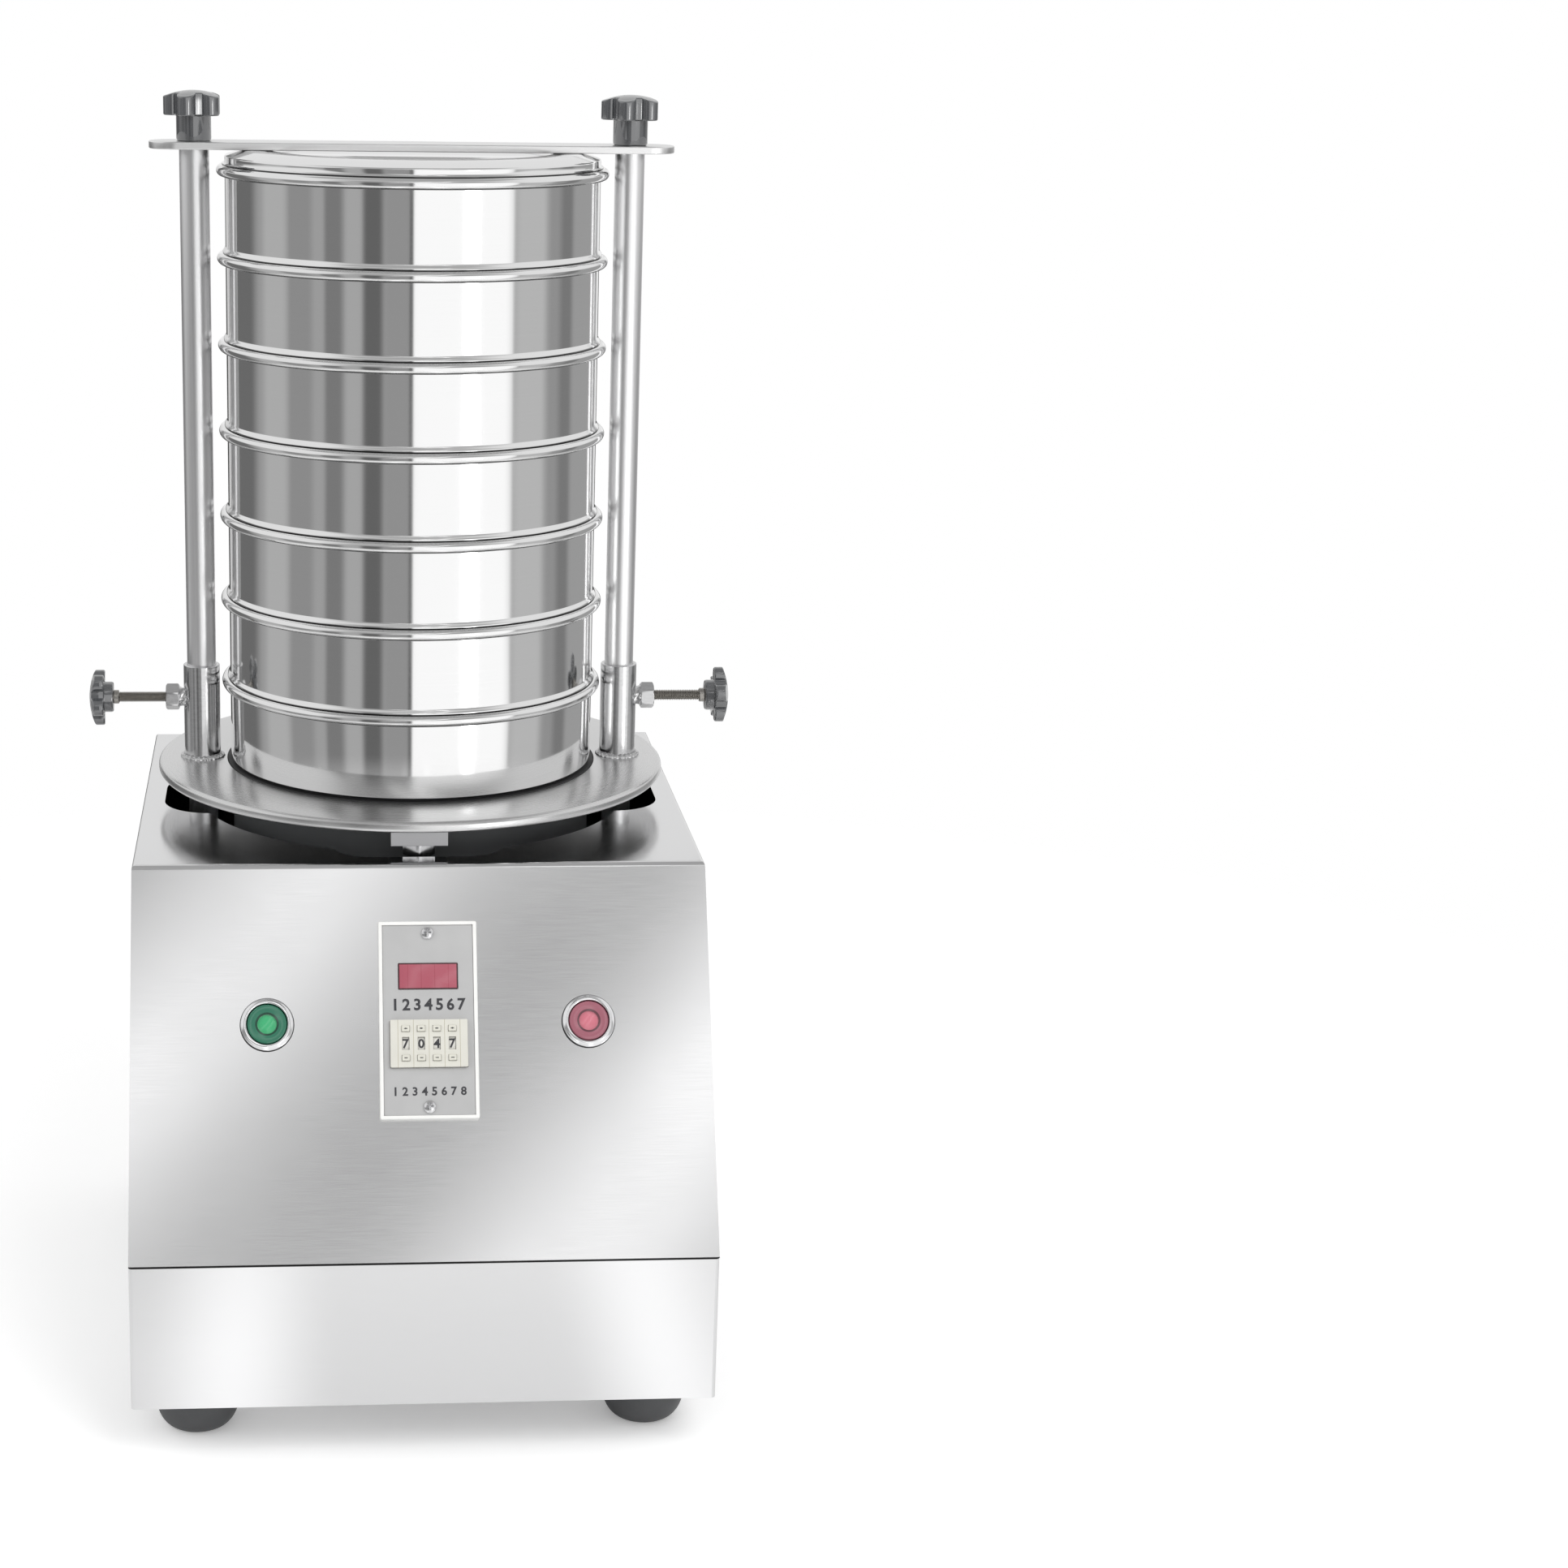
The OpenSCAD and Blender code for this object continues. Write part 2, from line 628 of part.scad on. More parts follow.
axle_d = 2.4;
axle_l = wheel_t + 2;
wheel_side_gap = 0.5;
wheel_sink = 0.9;
slot_w = 3.7;
slot_h = 6.7;
tab_w = 4;
tab_h = 3;
tab_t = 2.8;
tab_offset = 7.6;
tab_fit = 0.15;
tab_proud = 1.2;
wheel_out = block_out - wheel_sink - wheel_d / 2;
function wheel_x(i) = controls_x + (i - 2.5) * wheel_pitch;
module at_wheel(i) {
    on_panel(wheel_x(i), wheels_mid, wheel_out) rotate([0, 90, 0]) children();
}
module tab_space(i, s, grow, t, out) {
    on_panel(wheel_x(i), wheels_mid - s * tab_offset, out) translate([0, 0, t / 2])
        cube([tab_w + 2 * grow, tab_h + 2 * grow, t], center = true);
}
module timer_wheel_block() {
    hollow_r = wheel_d / 2 + 0.5;
    hollow_w = wheel_t + 2 * wheel_side_gap;
    color("beige") difference() {
        timer_cut(wheels_w, wheels_h, block_depth + block_out, wheels_mid, -block_depth);
        for (i = [1:4]) {
            at_wheel(i) cylinder(r = hollow_r, h = hollow_w, center = true, $fn = medium);
            at_wheel(i) cylinder(d = axle_d + 2 * run_gap, h = axle_l + 0.2, center = true, $fn = small);
            on_panel(wheel_x(i), wheels_mid, wheel_out + wheel_d / 2 - 3)
                translate([-slot_w / 2, -slot_h / 2, 0]) cube([slot_w, slot_h, 10]);
            for (s = [-1, 1]) tab_space(i, s, tab_fit, 8, block_out - tab_t + tab_proud - tab_travel - 0.2);
        }
    }
}
module digit_wheel(i) {
    color("whitesmoke") at_wheel(i) {
        cylinder(d = wheel_d, h = wheel_t, center = true, $fn = medium);
        cylinder(d = axle_d, h = axle_l, center = true, $fn = small);
    }
}
module push_tab(i, s) {
    color("ivory") tab_space(i, s, 0, tab_t, block_out + tab_proud - tab_t);
}

// Push buttons

barrel_l = 22;
cap_gap = 0.2;
switch_w = 30;
cap_stem_d = 8;
module at_button(s) {
    on_panel(controls_x + s * button_span / 2, button_drop) children();
}
module button_bezels() {
    inner = cap_d / 2 + cap_gap;
    outer = bezel_d / 2;
    color("silver") for (s = [left, right]) at_button(s) rotate_extrude($fn = medium) polygon(concat(
        [[inner, -barrel_l], [barrel_r, -barrel_l], [barrel_r, 0], [outer, 0], [outer, 0.8]],
        arc([outer - 1.2, bezel_h - 1.2], 1.2, 0, 90, 4),
        [[inner + 0.8, bezel_h], [inner, bezel_h - 0.6]]
    ));
}
module push_button(s, c) {
    r = cap_d / 2;
    color(c) at_button(s) {
        rotate_extrude($fn = medium) polygon([
            [0, -12], [r, -12], [r, cap_proud - 1], [r - 1, cap_proud],
            [r - 4.2, cap_proud - 0.3], [r - 5.6, cap_proud - 1.2], [0, cap_proud - 1.2]
        ]);
        translate([0, 0, -24]) cylinder(d = cap_stem_d, h = 13, $fn = small);
    }
}
module switch_bodies() {
    color("dimgray") for (s = [left, right]) at_button(s) translate([0, 0, -barrel_l - switch_l]) difference() {
        union() {
            plate(switch_w, switch_w, switch_l, 2);
            translate([0, 0, switch_l]) difference() {
                cylinder(r = barrel_r + 3, h = barrel_l - sheet_t - 8, $fn = small);
                translate([0, 0, -eps]) cylinder(r = barrel_r + 0.05, h = barrel_l, $fn = medium);
            }
        }
        translate([0, 0, switch_l - 8]) cylinder(d = cap_stem_d + 1, h = 9, $fn = small);
    }
}

// Mains inlet, and the motor's capacitor on the tray's floor

inlet_depth = 24;
inlet_flange_w = inlet_screw_span + 10;
inlet_flange_h = 23;
pin_d = 3;
module power_inlet() {
    color("dimgray") translate([inlet_x, rear_y, inlet_z]) rotate([-90, 0, 0]) {
        difference() {
            union() {
                plate(inlet_flange_w, inlet_flange_h, inlet_flange_t, 3);
                translate([0, 0, -inlet_depth]) plate(inlet_w - 1, inlet_h - 1, inlet_depth + eps, 2);
            }
            translate([0, 0, -16]) plate(24, 16, 20, 2);
            for (s = [-1, 1]) translate([s * inlet_screw_span / 2, 0, -eps]) {
                cylinder(d = 3, h = 10, $fn = small);
                translate([0, 0, inlet_flange_t - 1.2]) cylinder(d = 5, h = 10, $fn = small);
            }
        }
        for (x = [-7, 0, 7]) translate([x, x == 0 ? 2 : -2, -17]) cylinder(d = pin_d, h = 14, $fn = small);
    }
}
capacitor_d = 35;
capacitor_l = 62;
capacitor_foot_w = 24;
capacitor_foot_d = 30;
capacitor_x = 70;
capacitor_to_front = 75;
module run_capacitor() {
    color("lightsteelblue") translate([capacitor_x, front_y + capacitor_to_front, base_z + sheet_t + capacitor_d / 2 + 1]) {
        rotate([0, 90, 0]) cylinder(d = capacitor_d, h = capacitor_l, center = true, $fn = medium);
        translate([0, 0, -capacitor_d / 4 - 0.5]) cube([capacitor_foot_w, capacitor_foot_d, capacitor_d / 2 + 1], center = true);
    }
}

// Table

recess_r = wall_r + mat_margin + 0.2;
post_hole_r = post_r + 0.3;
carrier_l = 2 * carrier_bolt_y + 28;
module support_plate() {
    r = plate_r;
    e = plate_edge;
    color("silver") difference() {
        on_axis(plate_z) rotate_extrude($fn = fine) polygon(concat(
            [[0, 0]],
            arc([r - e, e], e, -90, 0, 5),
            arc([r - e, plate_t - e], e, 0, 90, 5),
            [[recess_r, plate_t], [recess_r, plate_t - mat_t], [0, plate_t - mat_t]]
        ));
        at_posts() translate([0, 0, plate_z - 1]) cylinder(r = post_hole_r, h = plate_t + 2, $fn = medium);
    }
}
module pan_mat() {
    color("black") on_axis(table_z - mat_t) cylinder(r = wall_r + mat_margin, h = mat_t, $fn = fine);
}
module post_sleeves() {
    inner = post_r + run_gap;
    color("silver") for (s = [left, right]) translate([s * post_x, axis_y, table_z]) difference() {
        union() {
            rotate_extrude($fn = medium) polygon([
                [inner, 0], [sleeve_r + weld_leg, 0], [sleeve_r + weld_leg * 0.3, weld_leg * 0.35],
                [sleeve_r, weld_leg], [sleeve_r, sleeve_h - 0.5], [sleeve_r - 0.5, sleeve_h], [inner, sleeve_h]
            ]);
            translate([0, 0, clamp_h]) rotate([0, s * 90, 0]) {
                cylinder(d = nut_af * 0.85, h = sleeve_r + neck_l + eps, $fn = small);
                translate([0, 0, sleeve_r + neck_l]) hex(nut_af, nut_l);
            }
        }
        cylinder(r = inner, h = 3 * sleeve_h, center = true, $fn = medium);
        translate([0, 0, clamp_h]) rotate([0, s * 90, 0])
            cylinder(d = screw_d + 2 * run_gap, h = 2 * (sleeve_r + neck_l + nut_l), $fn = small);
    }
}

// Sieves, pan and lid: outlines in radius and height, with the seat at height zero

// Rolled bead from the outer wall over to the bore, with its top at the given height, and the shoulder
// of a sieve, which is half a cosine from its flare to the wall
function bead(h) = concat(
    arc([bead_cr, h - bead_r], bead_r, -120, 90, 10),
    [[bore_r + 0.8, h], [bore_r, h - 0.8]]
);
shoulder_lip = 0.6;
function shoulder() = [for (a = [0:22.5:180])
    [wall_r + shoulder_flare * (1 + cos(a)) / 2, shoulder_lip + shoulder_h * a / 180]];
module sieve(k) {
    seat = rim_z + (sieve_count - k) * sieve_pitch;
    color("gainsboro") on_axis(seat) rotate_extrude($fn = fine) polygon(concat(
        [[skirt_r - frame_t, -skirt_depth], [skirt_r, -skirt_depth], [skirt_r, 0],
         [wall_r + shoulder_flare - shoulder_lip, 0]],
        shoulder(), bead(sieve_pitch),
        [[bore_r, 1], [skirt_r - frame_t, 1]]
    ));
}
cloth_seat = 1;
cloth_lift = 0.02;
module sieve_cloths() {
    step = aperture + aperture_bar;
    n = floor((bore_r - 4) / step);
    color("darkgray") for (k = [1:sieve_count]) {
        on_axis(rim_z + (sieve_count - k) * sieve_pitch + cloth_seat + cloth_lift) linear_extrude(cloth_t) difference() {
            circle(bore_r - 0.2, $fn = fine);
            if (k == 1) for (i = [-n:n], j = [-n:n])
                if (norm([i, j]) * step + aperture * 0.71 < bore_r - 4)
                    translate([i, j] * step) square(aperture, center = true);
        }
    }
}
module receiving_pan() {
    floor_path = concat(
        [[0, 0.6], [bore_r - 14, 0.6], [bore_r - 12, 0]],
        arc([wall_r - pan_bend, pan_bend], pan_bend, -90, 0, 4)
    );
    inside = [for (i = [len(floor_path) - 1:-1:0]) mitre(floor_path, i, frame_t)];
    color("gainsboro") on_axis(table_z) rotate_extrude($fn = fine) polygon(concat(
        floor_path, bead(pan_h), [[bore_r, pan_bend + 0.5]], inside
    ));
}
module stack_lid() {
    crest = wall_r - lid_shoulder;
    dish = crest - lid_ring;
    path = [
        [skirt_r, -skirt_depth], [skirt_r, 0], [wall_r + 1.5, 0], [wall_r + 1.5, 0.8], [wall_r, 1.6],
        [wall_r, lid_rise - 3.6], [wall_r - 0.8, lid_rise - 2.6], [crest + 1, lid_rise - 0.3], [crest, lid_rise],
        [dish, lid_rise], [dish - 2.5, lid_rise - lid_dish], [0, lid_rise - lid_dish]
    ];
    color("gainsboro") on_axis(stack_z) rotate_extrude($fn = fine) polygon([
        each path,
        [0, lid_rise - lid_dish - frame_t], [dish - 3, lid_rise - lid_dish - frame_t],
        [dish - 0.4, lid_rise - frame_t], [crest - 0.4, lid_rise - frame_t],
        [wall_r - 1.8, lid_rise - 3.8], [wall_r - frame_t - skirt_gap, 1], [skirt_r - frame_t, 1],
        [skirt_r - frame_t, -skirt_depth]
    ]);
}

// Motor cage and motor

lug_r = spring_d / 2 + 7;
cage_top = cage_z + cage_h;
head_t = 6;
mount_bolt_d = 8;
mount_drop = 31;
mount_z = cage_top - head_t - mount_drop;
module at_mount_bolts() {
    for (a = [45:90:315]) on_axis(mount_z) rotate([0, 0, a]) translate([cage_r, 0, 0]) rotate([0, 90, 0]) children();
}
module motor_cage() {
    color("slategray") difference() {
        union() {
            on_axis(cage_z) cylinder(r = cage_r, h = cage_h, $fn = fine);
            on_axis(cage_z) linear_extrude(flange_t) {
                circle(flange_r, $fn = fine);
                for (x = [-1, 1], y = [-1, 1]) {
                    translate([x * spring_x, y * spring_y]) circle(lug_r, $fn = medium);
                    rotate(atan2(y * spring_y, x * spring_x)) translate([0, -lug_r])
                        square([norm([spring_x, spring_y]), 2 * lug_r]);
                }
            }
            translate([-carrier_w / 2, axis_y - carrier_l / 2, cage_top])
                cube([carrier_w, carrier_l, carrier_t]);
            at_springs() translate([0, 0, cage_z + eps]) mirror([0, 0, 1]) spring_cup();
        }
        on_axis(cage_z - 1) cylinder(r = cage_r - cage_wall, h = cage_h - head_t + 1, $fn = fine);
        for (s = [-1, 1]) translate([0, axis_y + s * carrier_bolt_y, cage_top - 1])
            cylinder(d = fix_d + 0.6, h = carrier_t + 2, $fn = small);
        at_mount_bolts() cylinder(d = mount_bolt_d + 0.4, h = 20, center = true, $fn = small);
    }
}
motor_d = 2 * (cage_r - cage_wall - motor_gap);
bell_r = cage_r - cage_wall - 0.1;
bell_top_z = mount_z + bell_t / 2;
barrel_top_z = bell_top_z - bell_t;
barrel_z = barrel_top_z - motor_h;
bearing_w = 10;
fins = 20;
module motor_housing() {
    r = motor_d / 2;
    color("gray") on_axis(barrel_z) difference() {
        union() {
            cylinder(r = r - 5, h = motor_h, $fn = medium);
            for (i = [0:fins - 1]) rotate([0, 0, 360 * i / fins])
                translate([r - 7, -1.5, 0]) cube([7, 3, motor_h]);
        }
        translate([0, 0, -1]) cylinder(r = rotor_d / 2 + air_gap, h = motor_h + 2, $fn = medium);
    }
}
module bell(r, z, seat_z) {
    on_axis(z) difference() {
        cylinder(r = r, h = bell_t, $fn = medium);
        translate([0, 0, -1]) cylinder(r = shaft_d / 2 + 4, h = bell_t + 2, $fn = medium);
        translate([0, 0, seat_z]) cylinder(d = bearing_d + 0.04, h = bearing_w + eps, $fn = medium);
    }
}
module motor_end_bells() {
    color("dimgray") difference() {
        union() {
            bell(bell_r, barrel_top_z, 0);
            bell(motor_d / 2, barrel_z - bell_t, bell_t - bearing_w);
        }
        at_mount_bolts() cylinder(d = mount_bolt_d + 0.2, h = 50, center = true, $fn = small);
    }
}
module motor_bearings() {
    color("silver") for (z = [barrel_top_z, barrel_z - bearing_w]) on_axis(z) difference() {
        cylinder(d = bearing_d, h = bearing_w, $fn = medium);
        translate([0, 0, -1]) cylinder(r = shaft_d / 2 + run_gap, h = bearing_w + 2, $fn = medium);
    }
}
weight_gap = 4;
upper_weight_z = bell_top_z + weight_gap;
lower_weight_z = barrel_z - bell_t - weight_gap - weight_t;
module motor_shaft() {
    z0 = lower_weight_z - 2;
    z1 = upper_weight_z + weight_t + 1;
    color("lightgray") on_axis() {
        translate([0, 0, z0]) cylinder(d = shaft_d, h = z1 - z0, $fn = medium);
        translate([0, 0, barrel_z + 4]) cylinder(d = rotor_d, h = motor_h - 8, $fn = medium);
    }
}
module weight(z) {
    on_axis(z) difference() {
        union() {
            intersection() {
                cylinder(r = weight_r, h = weight_t, $fn = medium);
                translate([-weight_r, 0, 0]) cube([2 * weight_r, weight_r, weight_t]);
            }
            cylinder(r = shaft_d / 2 + 9, h = weight_t, $fn = medium);
        }
        translate([0, 0, -1]) cylinder(r = shaft_d / 2 + 0.02, h = weight_t + 2, $fn = medium);
    }
}
module eccentric_weights() {
    color("darkslategray") {
        weight(upper_weight_z);
        weight(lower_weight_z);
    }
}
fix_d = 10;
fix_nut_h = 8;
mount_head_af = 13;
mount_head_h = 5;
mount_bolt_l = 18;
module cage_fixings() {
    under = plate_z - carrier_t;
    color("gainsboro") {
        for (s = [-1, 1]) translate([0, axis_y + s * carrier_bolt_y, 0]) {
            translate([0, 0, under - fix_nut_h]) hex(fix_nut_af, fix_nut_h);
            translate([0, 0, under - fix_nut_h - 1]) cylinder(d = fix_d, h = carrier_t + fix_nut_h + 1, $fn = small);
        }
        at_mount_bolts() {
            hex(mount_head_af, mount_head_h);
            translate([0, 0, -mount_bolt_l]) cylinder(d = mount_bolt_d, h = mount_bolt_l + eps, $fn = small);
        }
    }
}

// Clamp frame

stud_h = bar_t + insert_l - 1;
module clamp_posts() {
    foot = plate_z - post_below;
    color("gainsboro") at_posts() {
        translate([0, 0, foot]) rotate_extrude($fn = medium) polygon([
            [0, 0], [post_r - 1, 0], [post_r, 1], [post_r, bar_z - foot], [0, bar_z - foot]
        ]);
        translate([0, 0, bar_z - eps]) cylinder(d = stud_d, h = stud_h + eps, $fn = small);
    }
}
module crossbar() {
    end_x = post_x + bar_overhang;
    color("silver") translate([0, axis_y, bar_z]) linear_extrude(bar_t) difference() {
        union() {
            square([2 * end_x, bar_w], center = true);
            bar_end(-end_x, bar_w);
            bar_end(end_x, bar_w);
        }
        for (s = [left, right]) bar_end(s * post_x, stud_d + 0.8);
    }
}

// A star knob along z, hub first, with a blind bore from the hub's end
module star_knob(hub_d, hub_h, head_h, bore_d, bore_h) {
    r = knob_d / 2;
    lobe_at = r - lobe_r;
    top = hub_h + head_h;
    edge_z = top - dome_h;
    color("dimgray") difference() {
        union() {
            rotate_extrude($fn = medium) polygon([
                [0, 0], [hub_d / 2 - 0.6, 0], [hub_d / 2, 0.6], [hub_d / 2, hub_h + 1], [0, hub_h + 1]
            ]);
            intersection() {
                translate([0, 0, hub_h]) linear_extrude(head_h + 1) {
                    circle(r - valley_depth, $fn = medium);
                    for (i = [0:knob_lobes - 1]) rotate(360 * (i + 0.5) / knob_lobes)
                        translate([lobe_at, 0]) circle(lobe_r, $fn = medium);
                }
                rotate_extrude($fn = medium) polygon([
                    [0, hub_h - 1], [r - knob_edge, hub_h - 1], [r - knob_edge, hub_h],
                    [r + eps, hub_h + knob_edge], [r + eps, edge_z - knob_edge], [r - knob_edge, edge_z],
                    [r * 0.5, top - dome_h * 0.3], [0, top]
                ]);
            }
        }
        translate([0, 0, -eps]) cylinder(d = bore_d, h = bore_h + eps, $fn = medium);
    }
}
collar_x = post_x + sleeve_r + neck_l + nut_l + screw_reach;
side_knob_x = collar_x + collar_l;
side_bore_l = side_hub_l + 4;
module beside(s, x) {
    translate([s * x, axis_y, table_z + clamp_h]) rotate([0, s * 90, 0]) children();
}
module side_collar(s) {
    color("darkgray") beside(s, collar_x) difference() {
        cylinder(r = screw_d / 2 + run_gap + collar_wall, h = collar_l, $fn = small);
        translate([0, 0, -1]) cylinder(r = screw_d / 2 + run_gap, h = collar_l + 2, $fn = small);
    }
}
module side_screw(s) {
    tip_x = post_x + post_r + tip_gap;
    color("dimgray") beside(s, tip_x) rotate_extrude($fn = small) polygon([
        [0, 0], [screw_d / 2 - 0.8, 0], [screw_d / 2, 0.8],
        [screw_d / 2, side_knob_x + side_bore_l - tip_x - 0.2], [0, side_knob_x + side_bore_l - tip_x - 0.2]
    ]);
}
module side_knob(s) {
    beside(s, side_knob_x) star_knob(side_hub_d, side_hub_l, side_head_l, screw_d + 0.02, side_bore_l);
}
module knob_insert(s) {
    color("goldenrod") translate([s * post_x, axis_y, knob_z]) difference() {
        cylinder(d = insert_d, h = insert_l, $fn = medium);
        translate([0, 0, -1]) cylinder(r = stud_d / 2 + run_gap, h = insert_l + 2, $fn = small);
    }
}
module top_knob(s) {
    translate([s * post_x, axis_y, knob_z])
        star_knob(top_hub_d, top_hub_h, top_head_h, insert_d + 2 * run_gap, insert_l + 0.2);
}

base_tray();
upper_cover();
case_screws();
rubber_feet();
foot_bolts();
spring_beams();
coil_springs();
timer_housing();
timer_faceplate();
timer_window();
timer_wheel_block();
button_bezels();
switch_bodies();
power_inlet();
run_capacitor();
support_plate();
post_sleeves();
pan_mat();
receiving_pan();
sieve(1);  // sieve_1
sieve(2);  // sieve_2
sieve(3);  // sieve_3
sieve(4);  // sieve_4
sieve(5);  // sieve_5
sieve(6);  // sieve_6
sieve_cloths();
stack_lid();
motor_cage();
motor_housing();
motor_end_bells();
motor_bearings();
cage_fixings();
motor_shaft();
eccentric_weights();
clamp_posts();
crossbar();
side_collar(left);  // side_collar_left
side_collar(right);  // side_collar_right
side_screw(left);  // side_screw_left
side_screw(right);  // side_screw_right
side_knob(left);  // side_knob_left
side_knob(right);  // side_knob_right
knob_insert(left);  // knob_insert_left
knob_insert(right);  // knob_insert_right
top_knob(left);  // top_knob_left
top_knob(right);  // top_knob_right
push_button(left, "seagreen");  // start_button
push_button(right, "indianred");  // stop_button
digit_wheel(1);  // digit_wheel_1
digit_wheel(2);  // digit_wheel_2
digit_wheel(3);  // digit_wheel_3
digit_wheel(4);  // digit_wheel_4
push_tab(1, left);  // plus_tab_1
push_tab(2, left);  // plus_tab_2
push_tab(3, left);  // plus_tab_3
push_tab(4, left);  // plus_tab_4
push_tab(1, right);  // minus_tab_1
push_tab(2, right);  // minus_tab_2
push_tab(3, right);  // minus_tab_3
push_tab(4, right);  // minus_tab_4
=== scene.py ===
import math
import bpy
import bmesh
import numpy as np
from mathutils import Matrix, Vector


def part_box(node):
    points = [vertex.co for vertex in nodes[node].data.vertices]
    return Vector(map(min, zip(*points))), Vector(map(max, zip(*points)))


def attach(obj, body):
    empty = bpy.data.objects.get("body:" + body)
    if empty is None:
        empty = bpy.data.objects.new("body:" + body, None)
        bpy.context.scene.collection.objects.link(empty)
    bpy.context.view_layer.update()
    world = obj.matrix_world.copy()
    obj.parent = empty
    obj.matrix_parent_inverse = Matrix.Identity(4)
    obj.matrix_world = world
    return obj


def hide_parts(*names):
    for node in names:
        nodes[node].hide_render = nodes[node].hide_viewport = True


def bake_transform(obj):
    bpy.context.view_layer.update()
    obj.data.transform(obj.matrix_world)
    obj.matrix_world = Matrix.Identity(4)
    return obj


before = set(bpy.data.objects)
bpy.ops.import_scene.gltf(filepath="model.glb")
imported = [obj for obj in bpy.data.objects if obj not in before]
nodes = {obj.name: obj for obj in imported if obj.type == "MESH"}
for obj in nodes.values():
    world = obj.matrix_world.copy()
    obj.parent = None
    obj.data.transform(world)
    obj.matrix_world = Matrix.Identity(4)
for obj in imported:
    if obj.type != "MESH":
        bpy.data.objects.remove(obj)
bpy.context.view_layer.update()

# Casing: base tray and upper cover
# Folded stainless sheet, 1.5 mm thick, with a fine satin grain that runs across. The cover slips over a
# lip of the tray and is held by round headed screws. The joint between the two shows as a dark line of
# painted shade, for the shadow in the narrow gap there.

MM = 0.001
SEAM_SHADE_HALF = 0.65 * MM


def box_mm(node):
    """The lowest and the highest corner of a CAD node, in millimetres."""
    return [np.array(corner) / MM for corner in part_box(node)]


def feed(value, socket):
    """Links a socket to an input, or sets the input to a number or a colour."""
    if isinstance(value, bpy.types.NodeSocket):
        socket.id_data.links.new(value, socket)
    elif socket.type == "RGBA":
        socket.default_value = (*value, 1)
    else:
        socket.default_value = value


def node(kind, inputs, operation=None):
    """A new node in the tree of the first socket among its inputs, which go by number or label."""
    beside = next(value for value in inputs.values() if isinstance(value, bpy.types.NodeSocket))
    made = beside.id_data.nodes.new("ShaderNode" + kind)
    if operation:
        made.operation = operation
    for label, value in inputs.items():
        feed(value, made.inputs[label])
    return made


def calc(operation, a, b=0.0):
    """One Math node. a and b are sockets or numbers."""
    return node("Math", {0: a, 1: b}, operation).outputs[0]


def ramp(value, low, high, start=0.0, end=1.0):
    """Takes low to high of a value to start to end, and holds its ends."""
    return node("MapRange", {0: value, 1: low, 2: high, 3: start, 4: end}).outputs[0]


def times(a, b):
    """The product of two values."""
    return calc("MULTIPLY", a, b)


def mix(factor, a, b, data_type="RGBA"):
    """A colour, or with FLOAT a number, that runs from a to b with factor."""
    made = node("Mix", {"Factor": factor})
    made.data_type = data_type
    feed(a, made.inputs["A"])
    feed(b, made.inputs["B"])
    return made.outputs["Result"]


def noise(place, scale, detail=2.0):
    return node("TexNoise", {"Vector": place, "Scale": scale, "Detail": detail}).outputs["Fac"]


def split(vector):
    """The x, y and z of a vector."""
    return node("SeparateXYZ", {0: vector}).outputs


def object_place(finish):
    return finish.node_tree.nodes.new("ShaderNodeTexCoord").outputs["Object"]


def surface(finish, label):
    return finish.node_tree.nodes["Principled BSDF"].inputs[label]


def material(name, colour, roughness, metallic=0.0, **sockets):
    """A Principled material with its constant sockets set on the shader."""
    made = bpy.data.materials.new(name)
    made.use_nodes = True
    constants = {"Base_Color": colour, "Roughness": roughness, "Metallic": metallic, **sockets}
    for label, value in constants.items():
        feed(value, surface(made, label.replace("_", " ")))
    return made


def brushed_grain():
    """A group that gives fine grain, stretched by its own scale on each axis, and slow handling marks."""
    group = bpy.data.node_groups.new("brushed_grain", "ShaderNodeTree")
    for label, way, kind in (
        ("Vector", "INPUT", "Vector"), ("Stretch", "INPUT", "Vector"),
        ("Grain", "OUTPUT", "Float"), ("Marks", "OUTPUT", "Float"),
    ):
        group.interface.new_socket(name=label, in_out=way, socket_type="NodeSocket" + kind)
    start = group.nodes.new("NodeGroupInput").outputs
    end = group.nodes.new("NodeGroupOutput").inputs
    stretched = node("VectorMath", {0: start["Vector"], 1: start["Stretch"]}, "MULTIPLY").outputs[0]
    feed(noise(stretched, 1.0, 3), end["Grain"])
    feed(noise(start["Vector"], MARKS_SCALE, 3), end["Marks"])
    return group


MARKS_SCALE = 7.0
GRAIN = brushed_grain()
GRAIN_DEPTH, GRAIN_GLOSS = 0.02 * MM, 0.01
NOISE_LOW, NOISE_HIGH = 0.3, 0.7


def from_noise(value, start=0.0, end=1.0):
    """Takes the middle part of noise, where nearly all of it lies, to start to end."""
    return ramp(value, NOISE_LOW, NOISE_HIGH, start, end)


def shade(finish, value, colour, change):
    """Runs a colour from a little darker to a little lighter with a noise value."""
    dark, light = ([min(c * (1 + part), 1) for c in colour] for part in (-change, change))
    feed(mix(from_noise(value), dark, light), surface(finish, "Base Color"))


def bump(finish, height, strength, distance):
    made = node("Bump", {"Height": height, "Strength": strength, "Distance": distance})
    feed(made.outputs["Normal"], surface(finish, "Normal"))


